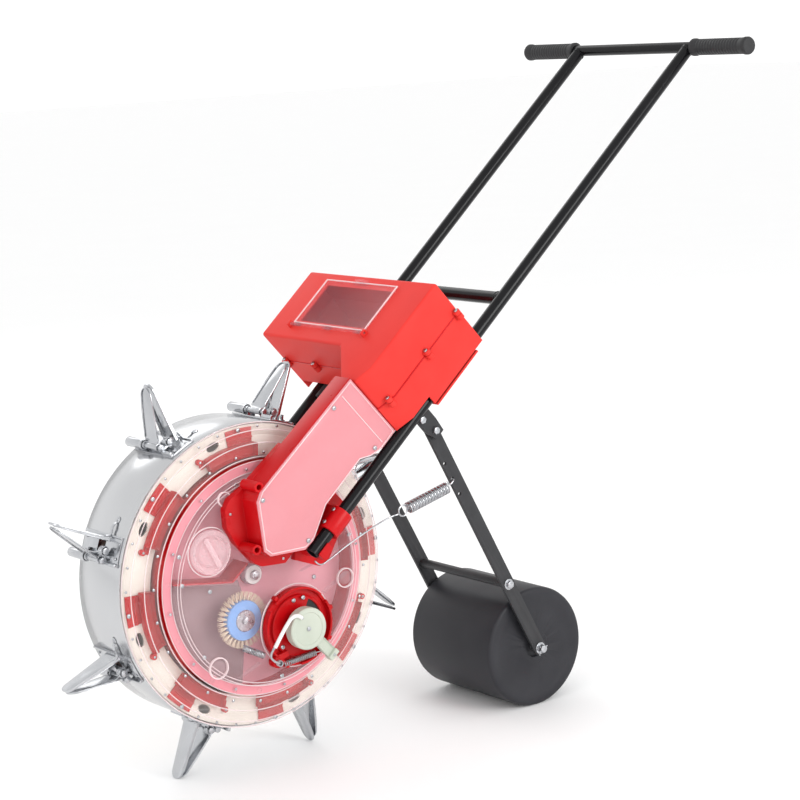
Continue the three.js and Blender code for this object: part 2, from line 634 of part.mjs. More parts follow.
const machine = new THREE.Group();
machine.add(buildDrum(), buildMeter(), buildSlope(), buildRoller());

// the origin is the middle of the machine's bounding box, on the ground
machine.updateMatrixWorld(true);
const extent = new THREE.Box3().setFromObject(machine, true);
const middle = extent.getCenter(new THREE.Vector3());
machine.position.set(-middle.x, -middle.y, -extent.min.z);

const seeder = new THREE.Group();
seeder.add(machine);

export default seeder;
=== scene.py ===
# %% [markdown]
# # A hand-pushed drum seeder
# A steel drum with eight hinged openers rolls along the ground and drops seed that a small
# brushed metering wheel counts out. A slanted hopper, a clear chute and a two-tube handle
# stand behind it, and a sprung roller presses the soil down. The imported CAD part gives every
# size and place. This lesson builds the look round it, one real piece at a time.

# %% Load the frame and keep its box
import json
import math

import bpy
from mathutils import Matrix, Vector

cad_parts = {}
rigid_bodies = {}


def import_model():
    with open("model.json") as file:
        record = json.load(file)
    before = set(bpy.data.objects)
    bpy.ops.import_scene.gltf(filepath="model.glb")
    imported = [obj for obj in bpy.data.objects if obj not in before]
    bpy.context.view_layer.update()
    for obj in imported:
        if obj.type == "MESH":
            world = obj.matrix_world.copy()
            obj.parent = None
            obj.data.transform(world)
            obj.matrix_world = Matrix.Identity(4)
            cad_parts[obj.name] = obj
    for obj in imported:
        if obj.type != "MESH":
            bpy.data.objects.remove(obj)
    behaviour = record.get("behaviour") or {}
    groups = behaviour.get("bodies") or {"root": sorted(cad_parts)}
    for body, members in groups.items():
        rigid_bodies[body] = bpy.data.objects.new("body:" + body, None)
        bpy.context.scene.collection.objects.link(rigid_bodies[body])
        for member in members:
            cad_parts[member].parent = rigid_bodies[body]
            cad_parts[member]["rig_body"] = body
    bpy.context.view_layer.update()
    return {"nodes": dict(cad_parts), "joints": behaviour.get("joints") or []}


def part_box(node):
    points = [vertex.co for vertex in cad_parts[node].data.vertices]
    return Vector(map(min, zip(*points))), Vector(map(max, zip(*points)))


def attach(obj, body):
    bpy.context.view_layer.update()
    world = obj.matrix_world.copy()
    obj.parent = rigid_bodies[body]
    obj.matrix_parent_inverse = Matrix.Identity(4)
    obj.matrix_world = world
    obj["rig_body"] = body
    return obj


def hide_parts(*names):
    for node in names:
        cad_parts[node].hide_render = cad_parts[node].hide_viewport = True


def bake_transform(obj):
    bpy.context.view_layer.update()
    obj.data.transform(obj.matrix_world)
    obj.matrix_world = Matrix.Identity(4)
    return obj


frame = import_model()

# %% [markdown]
# Places are thought of in millimetres from the drum's axle, as a fitter would measure them.
# Each group of pieces has its own bench: the machine, the slope of the handle tubes, a spoke
# of the drum and the roller's arm. A piece is modelled at the bench and then carried over by
# that bench's matrix, so its object stays at the origin.

# %% Benches
MM = 0.001
SAME_PLACE = 0.001 * MM
BAND_MIDDLE = 20
band_low, band_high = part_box("drum_band")
AXLE = (band_low + band_high) / 2 - Vector((0, BAND_MIDDLE * MM, 0))
SLOPE_DEG = 41
FIRST_OPENER_DEG = 67.5
OPENERS = 8
MACHINE = Matrix.Translation(AXLE)
SLOPE = MACHINE @ Matrix.Rotation(math.radians(-SLOPE_DEG), 4, "Y")


def spoke_deg(number):
    return FIRST_OPENER_DEG + number * 360 / OPENERS


def spoke(number):
    return MACHINE @ Matrix.Rotation(math.radians(-spoke_deg(number)), 4, "Y")


def mm(x, y, z):
    return Vector((x, y, z)) * MM


joint_at = {joint["name"]: Vector(joint["pos_m"]) for joint in frame["joints"]}
arm_run = joint_at["roller_spin"] - joint_at["arm_swing"]
ARM = Matrix.Translation(joint_at["arm_swing"]) @ Matrix.Rotation(
    math.atan2(-arm_run.z, arm_run.x), 4, "Y"
)
ARM_LENGTH = arm_run.length / MM
print("axle at", tuple(round(v, 4) for v in AXLE), "arm length", round(ARM_LENGTH, 1), "mm")

# %% [markdown]
# ## Hand tools
# The operators of Blender's edit mode act on what is selected, so each tool here first
# deselects everything. `drawn` extrudes one corner from point to point, the way an outline is
# traced by hand, and the other tools fill, extrude or spin what it drew.


# %% Drawing an outline
def clear():
    bpy.ops.object.select_all(action="DESELECT")


def mode(name):
    bpy.ops.object.mode_set(mode=name)


def merge_all(gap=SAME_PLACE):
    bpy.ops.mesh.select_all(action="SELECT")
    bpy.ops.mesh.remove_doubles(threshold=gap)


def work_on(piece):
    clear()
    piece.select_set(True)
    bpy.context.view_layer.objects.active = piece


def drawn(name, points):
    clear()
    bpy.ops.mesh.primitive_plane_add(size=MM)
    line = bpy.context.active_object
    line.name = name
    mode("EDIT")
    bpy.ops.mesh.merge(type="CENTER")
    bpy.ops.transform.translate(value=points[0])
    for here, there in zip(points, points[1:]):
        bpy.ops.mesh.extrude_region_move(TRANSFORM_OT_translate={"value": there - here})
    merge_all()
    return line


def outward():
    merge_all()
    bpy.ops.mesh.normals_make_consistent(inside=False)
    mode("OBJECT")


def arc(x, z, radius, start, end, steps=8):
    """Points on an arc round (x, z), from one angle in degrees to another."""
    turns = [math.radians(start + (end - start) * i / steps) for i in range(steps + 1)]
    return [(x + radius * math.cos(a), z + radius * math.sin(a)) for a in turns]


# %% Plates and turned pieces
def extruded(name, corners, step):
    piece = drawn(name, corners + corners[:1])
    bpy.ops.mesh.edge_face_add()
    bpy.ops.mesh.extrude_region_move(TRANSFORM_OT_translate={"value": step})
    outward()
    return piece


def plate(name, outline, y0, y1):
    """A flat piece: an outline in x and z, extruded across the machine."""
    return extruded(name, [mm(x, y0, z) for x, z in outline], mm(0, y1 - y0, 0))


def slab(name, outline, z0, z1):
    """The same, with the outline in x and y and the thickness upwards."""
    return extruded(name, [mm(x, y, z0) for x, y in outline], mm(0, 0, z1 - z0))


def turned(name, profile, steps=96, x=0, z=0):
    """A round piece: a closed profile of (radius, y), spun about a line across the machine."""
    points = [mm(radius, y, 0) for radius, y in profile]
    piece = drawn(name, points + points[:1])
    bpy.ops.mesh.spin(steps=steps, angle=math.tau, center=(0, 0, 0), axis=(0, 1, 0))
    merge_all()
    bpy.ops.mesh.delete_loose(use_verts=True, use_edges=True, use_faces=False)
    bpy.ops.mesh.select_all(action="SELECT")
    bpy.ops.transform.translate(value=mm(x, 0, z))
    outward()
    return piece


def rod(name, radius, y0, y1, x=0, z=0, edge=0.5, steps=32):
    """A solid bar across the machine with its two ends broken by a small bevel."""
    low, high = sorted((y0, y1))
    clear()
    bpy.ops.mesh.primitive_cylinder_add(
        vertices=steps, radius=radius * MM, depth=(high - low) * MM, rotation=(math.pi / 2, 0, 0)
    )
    piece = bpy.context.active_object
    piece.name = name
    bpy.ops.object.transform_apply(location=False, rotation=True, scale=False)
    soften(piece, edge)
    shift(piece, x, (low + high) / 2, z)
    return piece


def block(name, x0, x1, y0, y1, z0, z1, edge=0.6):
    clear()
    bpy.ops.mesh.primitive_cube_add(size=1)
    piece = bpy.context.active_object
    piece.name = name
    mode("EDIT")
    bpy.ops.transform.resize(value=mm(x1 - x0, y1 - y0, z1 - z0))
    bpy.ops.transform.translate(value=mm(x0 + x1, y0 + y1, z0 + z1) / 2)
    mode("OBJECT")
    return soften(piece, edge)


# %% Moving, softening, cutting and joining
def shift(piece, x=0, y=0, z=0):
    work_on(piece)
    mode("EDIT")
    bpy.ops.mesh.select_all(action="SELECT")
    bpy.ops.transform.translate(value=mm(x, y, z))
    mode("OBJECT")
    return piece


def carry(piece, matrix):
    """Moves a piece by a matrix and applies it, so that its object is back at the origin."""
    work_on(piece)
    piece.matrix_world = matrix
    bpy.ops.object.transform_apply(location=True, rotation=True, scale=True)
    return piece


def turn(piece, degrees, axis="Y"):
    return carry(piece, Matrix.Rotation(math.radians(-degrees), 4, axis))


def modify(piece, kind, **settings):
    work_on(piece)
    modifier = piece.modifiers.new(kind.title(), kind)
    for name, value in settings.items():
        setattr(modifier, name, value)
    bpy.ops.object.modifier_apply(modifier=modifier.name)
    return piece


def soften(piece, width, segments=2, angle=30):
    """Breaks the sharp edges with a narrow bevel, which is what catches the light."""
    if not width:
        return piece
    return modify(
        piece, "BEVEL", width=width * MM, segments=segments, limit_method="ANGLE",
        angle_limit=math.radians(angle), use_clamp_overlap=True,
    )


def cut(piece, *tools):
    for tool in tools:
        modify(piece, "BOOLEAN", operation="DIFFERENCE", object=tool, solver="EXACT")
        bpy.data.objects.remove(tool)
    return piece


def joined(name, *pieces):
    work_on(pieces[0])
    for piece in pieces[1:]:
        piece.select_set(True)
    bpy.ops.object.join()
    pieces[0].name = name
    return pieces[0]


def copied(piece, name=None):
    work_on(piece)
    bpy.ops.object.duplicate(linked=False)
    copy = bpy.context.active_object
    copy.name = name or piece.name + "_copy"
    return copy


def discard(*patterns):
    for pattern in patterns:
        bpy.data.objects.remove(pattern)


# %% Copies of CAD nodes and bent wires
def from_cad(node, name, edge=0.8, segments=2):
    """A CAD node's own shape, copied, merged and softened along its edges."""
    piece = copied(frame["nodes"][node], name)
    for key in list(piece.keys()):
        del piece[key]
    piece.parent = None
    piece.data.materials.clear()
    mode("EDIT")
    merge_all(10 * SAME_PLACE)
    bpy.ops.mesh.dissolve_limited(angle_limit=math.radians(1))
    bpy.ops.mesh.customdata_custom_splitnormals_clear()
    mode("OBJECT")
    return soften(piece, edge, segments)


def fitted(node, name, edge, segments=2, bench=SLOPE):
    """The same, brought to the axes of the bench where it is added to."""
    return carry(from_cad(node, name, edge, segments), bench.inverted())


def wire(name, points, radius, round_bends=True, sides=3):
    """A bent wire: a drawn line, made a curve and given a round section."""
    drawn(name, [mm(*point) for point in points])
    mode("OBJECT")
    bpy.ops.object.convert(target="CURVE")
    line = bpy.context.active_object
    mode("EDIT")
    bpy.ops.curve.select_all(action="SELECT")
    if round_bends:
        bpy.ops.curve.spline_type_set(type="BEZIER")
        bpy.ops.curve.handle_type_set(type="AUTOMATIC")
    mode("OBJECT")
    line.data.bevel_depth = radius * MM
    line.data.bevel_resolution = sides
    line.data.resolution_u = 6
    line.data.use_fill_caps = True
    bpy.ops.object.convert(target="MESH")
    mode("EDIT")
    outward()
    return line


def coil(name, start, end, radius, thickness, turns, around=10):
    """A helical spring between two points, its wire laid turn by turn."""
    start, end = Vector(start), Vector(end)
    along = end - start
    side = along.orthogonal().normalized()
    other = along.normalized().cross(side)
    steps = int(turns * around)
    points = []
    for i in range(steps + 1):
        angle = math.tau * turns * i / steps
        spread = radius * (math.cos(angle) * side + math.sin(angle) * other)
        points.append(tuple(start + along * i / steps + spread))
    return wire(name, points, thickness, round_bends=False, sides=2)

# %% [markdown]
# ## Finishes
# Shader maths reads best as sums, so `Signal` wraps a socket and lets Python's operators add
# the Math nodes. `Finish` holds one material, and its `node` method makes any other node from
# a type, its settings and what goes into its sockets. Patterns use Object coordinates, which
# stay fixed to a piece because every piece's object is at the origin.


# %% Signals and finishes
class Signal:
    def __init__(self, finish, socket):
        self.finish = finish
        self.socket = socket

    def sum_of(self, operation, first, second):
        return self.finish.node("ShaderNodeMath", {"operation": operation}, {0: first, 1: second})

    def __add__(self, other):
        return self.sum_of("ADD", self, other)

    def __mul__(self, other):
        return self.sum_of("MULTIPLY", self, other)

    __radd__ = __add__
    __rmul__ = __mul__


class Finish:
    def __init__(self, name, **plain):
        self.material = bpy.data.materials.new(name)
        self.material.use_nodes = True
        self.tree = self.material.node_tree
        self.shader = self.tree.nodes["Principled BSDF"]
        self.places = self.node("ShaderNodeTexCoord", {}, {}, "Object")
        self.set(**plain)

    def feed(self, socket, value):
        if isinstance(value, Signal):
            self.tree.links.new(value.socket, socket)
        else:
            socket.default_value = value

    def node(self, kind, settings, inputs, output=0):
        made = self.tree.nodes.new(kind)
        for name, value in settings.items():
            setattr(made, name, value)
        for key, value in inputs.items():
            self.feed(made.inputs[key], value)
        return Signal(self, made.outputs[output])

    def set(self, **sockets):
        for name, value in sockets.items():
            self.feed(self.shader.inputs[name.replace("_", " ").title().replace("Ior", "IOR")], value)
        return self

    def stretched(self, *scale):
        return self.node("ShaderNodeMapping", {}, {"Vector": self.places, "Scale": scale})

    def noise(self, scale, detail=3, where=None):
        inputs = {"Vector": where or self.places, "Scale": scale, "Detail": detail}
        return self.node("ShaderNodeTexNoise", {}, inputs)

    def cells(self, scale):
        return self.node("ShaderNodeTexVoronoi", {}, {"Vector": self.places, "Scale": scale})

    def between(self, signal, to_low=0.0, to_high=1.0, low=0.3, high=0.7):
        inputs = {0: signal, 1: low, 2: high, 3: to_low, 4: to_high}
        return self.node("ShaderNodeMapRange", {"clamp": True}, inputs)

    def blend(self, share, first, second):
        inputs = {0: share, 6: (*first, 1), 7: (*second, 1)}
        return self.node("ShaderNodeMix", {"data_type": "RGBA"}, inputs, 2)

    def surface(self, shade, dark, light, wear, gloss, matt):
        """Mixes two shades by one signal and two roughnesses by another."""
        self.set(base_color=self.blend(shade, dark, light))
        return self.set(roughness=self.between(wear, gloss, matt))

    def relief(self, height, depth, strength):
        inputs = {"Height": height, "Distance": depth * MM, "Strength": strength}
        return self.set(normal=self.node("ShaderNodeBump", {}, inputs))


# %% [markdown]
# ### Metals
# The drum and its openers are polished stainless sheet: nearly a mirror, with faint rolling
# lines and a haze that comes and goes. The small hardware is bright zinc, which shows a soft
# crystal pattern. The roughness carries most of this, because it decides how a reflection
# breaks up, and the colour hardly changes.


# %% Steel and zinc
def sheet_steel():
    steel = Finish("polished_sheet_steel", metallic=1.0)
    haze = steel.noise(9, 4)
    lines = steel.noise(60, 2, steel.stretched(1, 14, 1))
    rolled = haze * 0.6 + lines * 0.4
    steel.surface(haze, (0.53, 0.535, 0.55), (0.61, 0.615, 0.625), rolled, 0.16, 0.3)
    return steel.relief(lines, 0.02, 0.25).material


def opener_steel():
    steel = Finish("pressed_opener_steel", metallic=1.0)
    rubbed = steel.noise(35, 5)
    scratches = steel.noise(120, 3, steel.stretched(1, 6, 1))
    scuffed = rubbed * 0.7 + scratches * 0.3
    steel.surface(rubbed, (0.42, 0.43, 0.45), (0.60, 0.61, 0.63), scuffed, 0.10, 0.32)
    return steel.relief(rubbed * 0.5 + scratches * 0.3, 0.08, 0.35).material


def bright_zinc():
    zinc = Finish("bright_zinc", metallic=1.0)
    spangle = zinc.cells(240)
    cloud = zinc.noise(90, 3)
    zinc.surface(spangle, (0.38, 0.39, 0.41), (0.56, 0.57, 0.59), cloud, 0.2, 0.4)
    return zinc.relief(spangle, 0.02, 0.3).material


SHEET_STEEL = sheet_steel()
OPENER_STEEL = opener_steel()
ZINC = bright_zinc()
print("metals:", SHEET_STEEL.name, OPENER_STEEL.name, ZINC.name)

# %% [markdown]
# ### Paint, rubber and plastics
# Gloss paint on a tube has orange peel, a bump of a few hundredths of a millimetre. Moulded
# plastic shows a fine grain and slight flow marks. One function makes all the plain plastics,
# because only their colours, gloss and grain differ.


# %% Paint and rubber
def paint(name, dark, light, gloss, peel):
    coat = Finish(name, specular_ior_level=0.2)
    flow = coat.noise(40, 4)
    skin = coat.noise(420, 2)
    coat.surface(flow, dark, light, flow, gloss, gloss + 0.1)
    return coat.relief(skin, peel, 0.5).material


def grip_rubber():
    rubber = Finish("grip_rubber", specular_ior_level=0.4)
    grain = rubber.noise(900, 3)
    worn = rubber.noise(28, 4)
    rubber.surface(worn, (0.012, 0.012, 0.013), (0.030, 0.030, 0.032), worn, 0.5, 0.7)
    return rubber.relief(grain, 0.12, 0.6).material


TUBE_PAINT = paint("tube_gloss_black", (0.004, 0.004, 0.005), (0.008, 0.008, 0.009), 0.12, 0.04)
ARM_PAINT = paint("arm_satin_grey", (0.030, 0.030, 0.032), (0.048, 0.048, 0.051), 0.38, 0.08)
GRIP_RUBBER = grip_rubber()


# %% Moulded plastics
def plastic(name, dark, light, gloss, grain=0.06, shine=0.3):
    moulded = Finish(name, specular_ior_level=shine)
    flow = moulded.noise(14, 5)
    pores = moulded.noise(650, 2)
    moulded.surface(moulded.between(flow), dark, light, flow, gloss, gloss + 0.12)
    return moulded.relief(pores, grain, 0.5).material


CASTING_RED = plastic("casting_red", (0.44, 0.002, 0.004), (0.54, 0.003, 0.006), 0.25, shine=0.2)
HOPPER_RED = plastic("hopper_red", (0.68, 0.036, 0.030), (0.74, 0.046, 0.038), 0.42, shine=0.1)
BACK_PINK = plastic("tray_back_pink", (0.82, 0.34, 0.40), (0.88, 0.41, 0.47), 0.4)
CREAM = plastic("ring_cream", (0.74, 0.69, 0.62), (0.82, 0.77, 0.70), 0.4)
NYLON = plastic("pale_nylon", (0.47, 0.51, 0.43), (0.57, 0.60, 0.52), 0.35)
BRUSH_BLUE = plastic("brush_blue", (0.10, 0.34, 0.74), (0.18, 0.43, 0.82), 0.4)
BRISTLE = plastic("brush_bristle", (0.58, 0.47, 0.33), (0.82, 0.72, 0.55), 0.7, 0.3)
ROLLER_GREY = plastic("roller_grey", (0.014, 0.014, 0.018), (0.026, 0.026, 0.031), 0.42, 0.15, 0.3)
BACK_GREY = plastic("back_plate_grey", (0.25, 0.17, 0.18), (0.34, 0.25, 0.26), 0.4)
SLEEVE_WHITE = plastic("sleeve_white", (0.80, 0.80, 0.78), (0.88, 0.88, 0.86), 0.3)

# %% [markdown]
# Clear covers are the hardest finish here. Real polycarbonate lets most light straight
# through, tints it a little and mirrors the room along its edges. A Principled shader with a
# low Alpha does this for a thin sheet, and more of it shows where the sheet is seen edge-on,
# so a Layer Weight node raises the Alpha there. Fine wear marks raise it a touch as well.


# %% Clear plastic
def clear_plastic(name, tint, body, rim):
    clear_sheet = Finish(name, roughness=0.1, specular_ior_level=0.4)
    marks = clear_sheet.noise(70, 5)
    edge_on = clear_sheet.node("ShaderNodeLayerWeight", {}, {"Blend": 0.35}, "Facing")
    wear = clear_sheet.between(marks, 0.0, 0.02, 0.5, 0.8)
    clear_sheet.set(base_color=clear_sheet.blend(marks, tint, tuple(0.98 * t for t in tint)))
    clear_sheet.set(alpha=edge_on * rim + wear + body)
    return clear_sheet.relief(clear_sheet.noise(30, 3), 0.05, 0.2).material


COVER_CLEAR = clear_plastic("cover_clear", (0.98, 0.70, 0.74), 0.045, 0.22)
RING_CLEAR = clear_plastic("ring_clear", (0.97, 0.90, 0.88), 0.03, 0.22)
PANE_CLEAR = clear_plastic("pane_clear", (0.94, 0.40, 0.44), 0.50, 0.20)
# A more opaque pink for the thin ring on the cover's flange, which is a painted sheen.
FLANGE_PAINTED_SHEEN = clear_plastic("flange_painted_sheen", (0.98, 0.40, 0.46), 0.52, 0.25)
LID_CLEAR = clear_plastic("lid_clear", (0.90, 0.30, 0.34), 0.08, 0.05)
# Paler and more opaque than the clear sheets: this finish paints highlights along clear edges.
EDGE_PAINTED_HIGHLIGHT = clear_plastic("clear_edge_painted_highlight", (0.98, 0.84, 0.85), 0.55, 0.30)
CAP_CLEAR = clear_plastic("cap_clear", (0.98, 0.74, 0.77), 0.24, 0.45)
print("materials made:", len(bpy.data.materials))


# %% [markdown]
# A finished piece gets its material, smooth shading with crisp edges and the body that it moves
# with, and the CAD nodes that it stands for are hidden.

# %% Finishing a piece
CREASE_DEG = 35


def finish(piece, body, material, *stands_for, bench=MACHINE, slot=None):
    carry(piece, bench)
    piece.data.materials.clear()
    piece.data.materials.append(material)
    bpy.ops.object.shade_smooth_by_angle(angle=math.radians(CREASE_DEG))
    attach(piece, body)
    if stands_for:
        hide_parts(*stands_for)
    return piece


def said(title, *pieces):
    faces = sum(len(piece.data.polygons) for piece in pieces)
    print(f"{title}: {len(pieces)} pieces, {faces} faces")


# %% [markdown]
# Screws, nuts and rivets are needed all over, so each is modelled once. A pan-head screw is a
# short cylinder whose face is rounded over, with a cross cut into it. A nut is a cylinder
# with six sides. Each one faces the near side, which is -Y, and copies are turned as needed.


# %% Hardware
def screw_head(radius=3.4, height=2.2):
    dome = [(0, 0), (radius, 0), (radius, -height * 0.45), (radius * 0.8, -height * 0.85)]
    head = turned("screw_head", dome + [(radius * 0.4, -height), (0, -height)], 20)
    reach = radius * 0.55
    slot_a = block("slot_a", -reach, reach, -height - 1, -height * 0.5, -0.45, 0.45, 0)
    slot_b = block("slot_b", -0.45, 0.45, -height - 1, -height * 0.5, -reach, reach, 0)
    return cut(head, slot_a, slot_b)


def nut(name, across, depth):
    return rod(name, across / 2 / math.cos(math.pi / 6), -depth, 0, edge=0.4, steps=6)


SCREW = screw_head()
RIVET = turned("rivet", [(0, 0), (2.4, 0), (2.2, -0.9), (1.2, -1.5), (0, -1.6)], 14)


def scattered(name, pattern, places):
    """Copies of one small piece at each place, joined into one."""
    return joined(name, *[shift(copied(pattern), *place) for place in places])

# %% [markdown]
# ## The drum
# The band is a strip of 2 mm stainless sheet rolled into a ring. It is spun from its section,
# whose corners are broken, and each opener gets a hole through it for the seed. The clear
# ring in front is spun too: its section steps inwards in two ribs, and the fine lines along
# them are painted highlights, beads in a paler, more opaque clear finish.

# %% Band and clear ring
DRUM_STEPS = 160
BAND = [
    (223, -35.4), (223.5, -36), (224.6, -36), (225, -35.4),
    (225, 75.4), (224.6, 76), (223.5, 76), (223, 75.4),
]
band = turned("drum_band_sheet", BAND, DRUM_STEPS)
seed_ways = [
    turn(block("seed_way", 215, 235, BAND_MIDDLE - 10, BAND_MIDDLE + 10, 5, 22, 2), spoke_deg(i))
    for i in range(OPENERS)
]
cut(band, joined("seed_ways", *seed_ways))
finish(band, "drum", SHEET_STEEL, "drum_band")

RING = [
    (225, -36.4), (225, -40.6), (224, -41.6), (215.6, -48.4), (214.8, -50.6), (213.2, -50.4),
    (198, -56.2), (197.2, -58), (195.4, -57.6), (181, -60.2), (175, -60.2), (174.5, -59.7),
    (174.5, -58.3), (175, -57.8), (180, -57.8), (195, -54.7), (212.4, -48), (222.6, -39.8),
    (222.6, -36.4),
]
clear_ring = turned("ring_window_clear", RING, DRUM_STEPS)
finish(clear_ring, "drum", RING_CLEAR, "ring_window")


def edge_lines(name, lines, *others):
    """Beads round a clear piece in a pale, more opaque finish that paints a highlight along its edges,
    one at each (radius, y) and so many mm to a side.
    """
    beads = [turned("bead", [(r - w, y), (r, y - w), (r + w, y), (r, y + w)], DRUM_STEPS)
             for r, y, w in lines]
    return joined(name, *beads, *others)


# The beads on the ring's steps and edges are painted highlights in the pale, more opaque clear finish.
ring_steps = [(224.4, -41.3, 0.9), (214.4, -50.6, 0.8), (196.6, -57.7, 0.8), (177, -60.3, 0.9)]
finish(edge_lines("ring_window_beads", ring_steps), "drum", EDGE_PAINTED_HIGHLIGHT)
said("band and ring", band, clear_ring)

# %% [markdown]
# Small screws hold the clear ring to the band. They stand in its sloping rim. Every fifth one
# is bigger and sits a little further in.

# %% Ring screws
RIM_SCREWS = 5 * OPENERS
FIRST_SCREW_DEG = 4.5


def around(radius, y, count, first=0.0):
    turns = [math.radians(first + 360 * i / count) for i in range(count)]
    return [(radius * math.cos(a), y, radius * math.sin(a)) for a in turns]


small_screw = screw_head(2.1, 1.5)
rim = around(219.3, -45.1, RIM_SCREWS, FIRST_SCREW_DEG)
rim_screws = scattered("ring_small_screws", small_screw, [p for i, p in enumerate(rim) if i % 5])
rim_bolts = scattered("ring_bolts", SCREW, around(217.8, -46.3, OPENERS, FIRST_SCREW_DEG))
inner_rivets = scattered("ring_inner_rivets", RIVET, around(183, -59.6, 24, 10))
for piece in (rim_screws, rim_bolts, inner_rivets):
    finish(piece, "drum", ZINC)
said("ring hardware", rim_screws, rim_bolts, inner_rivets)

# %% [markdown]
# Behind the clear ring is a cream moulded ring with a slot at each opener. The far side of
# the drum is a cream disc with a hub, two raised beads and eight ribs that stiffen it.

# %% Cream ring and side disc
seed_ring = turned("seed_ring_cream", [
    (176, -37), (176.4, -36.6), (221.4, -36.6), (221.8, -37), (221.8, -39), (221.4, -39.4),
    (207, -39.4), (206, -39.0), (205, -39.4), (176.4, -39.4), (176, -39),
], DRUM_STEPS)
DROP_R = 206
DROP_LAG_DEG = 6.5
drop = rod("drop", 6.5, -45, -30, edge=0, steps=24)
shift(carry(drop, Matrix.Diagonal((1, 1, 1.7, 1))), DROP_R)
drops = [turn(copied(drop), spoke_deg(i) - DROP_LAG_DEG) for i in range(OPENERS)]
cut(seed_ring, joined("drops", *drops))
discard(drop)
finish(seed_ring, "drum", CREAM, "seed_ring")

disc = turned("drum_side_disc", [
    (10.4, 58), (27.5, 58), (28, 58.5), (28, 71), (222, 71), (222.6, 71.6), (222.6, 74.4),
    (222, 75), (212, 75), (211, 77.5), (207, 77.5), (206, 75), (122, 75), (121, 77.5),
    (117, 77.5), (116, 75), (40, 75), (34, 79), (28, 80), (28, 91.5), (27.5, 92), (10.4, 92),
], DRUM_STEPS)
ribs = [turn(block("rib", 36, 208, 74, 78, -2, 2), i * 360 / OPENERS) for i in range(OPENERS)]
disc = joined("drum_side_disc", disc, *ribs)
finish(disc, "drum", CREAM, "drum_side_plate")
far_screw = turn(copied(SCREW, "far_screw"), 180, "Z")
disc_screws = scattered("side_disc_screws", far_screw, around(216, 75, 16, 11))
finish(disc_screws, "drum", ZINC)
said("cream ring and disc", seed_ring, disc, disc_screws)

# %% [markdown]
# Each opener is fed by a red moulded cup. A flat sheet closes the slot, a scoop with a deep
# pocket lifts the seed, and an arm runs to a screw boss. The scoop is a sector whose near face
# is inset and pushed in, so its rim keeps an even wall. It is made once and copied.


# %% Seed cups
CUP_BACK = -39.8
CUP_BOSS_FRONT = -47
CUP_SCREW_R = 199


def sector(name, r0, r1, start, end, y0, y1, edge=0.8):
    steps = max(3, int(abs(end - start) / 1.5))
    piece = plate(name, arc(0, 0, r1, start, end, steps) + arc(0, 0, r0, end, start, steps), y0, y1)
    return soften(piece, edge) if edge else piece


def hollowed(piece, direction, limit, wall, depth):
    """Insets the faces on one side and pushes them in, which leaves an even rim."""
    facing = Vector(direction)
    work_on(piece)
    for item in (*piece.data.vertices, *piece.data.edges):
        item.select = False
    for face in piece.data.polygons:
        face.select = face.normal.dot(facing) > 0.95 and face.center.dot(facing) > limit * MM
    mode("EDIT")
    bpy.ops.mesh.select_mode(type="FACE")
    bpy.ops.mesh.inset(thickness=wall * MM, depth=0)
    bpy.ops.transform.translate(value=-depth * MM * facing)
    bpy.ops.mesh.select_mode(type="VERT")
    mode("OBJECT")
    return piece


def seed_cup():
    sheet = sector("cup_sheet", 194, 219, -25, -13, -41.6, CUP_BACK, 0.3)
    scoop = sector("cup_scoop", 177.5, 197, -26, 0, -53, CUP_BACK, 0)
    soften(hollowed(scoop, (0, -1, 0), 50, 1.8, 10), 0.5)
    arm = sector("cup_arm", 186, 197, -1, 3, -42, CUP_BACK)
    x, z = arc(0, 0, CUP_SCREW_R, 2.5, 2.5, 1)[0]
    boss = rod("cup_boss", 4.5, CUP_BOSS_FRONT, CUP_BACK, x, z, 0.6)
    fold = sector("cup_fold", 204, 206, -25, -13, -44, CUP_BACK, 0.4)
    screw = shift(copied(small_screw), x, CUP_BOSS_FRONT, z)
    return joined("seed_cup", sheet, scoop, arm, boss, fold), screw


cup, cup_screw = seed_cup()
cups, cup_screws = [], []
for number in range(OPENERS):
    red = copied(cup, f"seed_cup_moulding_{number + 1}")
    cups.append(finish(red, "drum", CASTING_RED, f"seed_cup_{number + 1}",
                       bench=spoke(number)))
    cup_screws.append(carry(copied(cup_screw), spoke(number)))
finish(joined("seed_cup_screws", *cup_screws), "drum", ZINC, bench=Matrix())
discard(cup, cup_screw)
said("seed cups", *cups)

# %% [markdown]
# ## Openers
# An opener is a beak of pressed stainless. The fixed half is a blade with low folded edges,
# on a foot that is rolled to the band. The moving half is a leaf on a hinge pin, and a
# barrel on the pin's far end takes the lever that opens it. The pressings themselves are
# CAD copies with softened edges. The folded rims, springs, rivets and straps are added to them.

# %% Fixed half
HINGE = (233, 34)
LEAF_TIP = (318, 5.5)
SPRING_AT = (236, 20)
SPRING_X, SPRING_Z = SPRING_AT


def trough():
    pressed = fitted("beak_fixed_1", "opener_trough", 0.45, bench=spoke(0))
    rims = []
    for side in (-1, 1):
        tip = (304, BAND_MIDDLE + side * 12.4, 3.9)
        root = (228.6, BAND_MIDDLE + side * 17.3, 4.9)
        rims.append(wire("rim", [root, tip], 0.8, False))
    lip = sector("foot_lip", 227, 233, 8.6, 9.6, -30, -6, 0.4)
    hem = sector("foot_hem", 227, 229.4, -1.1, -0.4, -30, 70, 0.3)
    return joined("opener_trough", pressed, *rims, lip, hem)


def opener_rivets():
    places = [(227, y, z) for y in (-24, 63) for z in (6, 27)]
    head = turn(copied(RIVET), -90, "Z")
    rivets = scattered("opener_rivets", head, places)
    discard(head)
    return rivets


fixed_half = trough()
rivet_set = opener_rivets()
said("fixed half", fixed_half, rivet_set)

# %% [markdown]
# A torsion spring beside the leaf pulls it shut, and a small S-shaped strap runs from the
# fixed blade to a screw on the band. The springs are coils of thin wire.


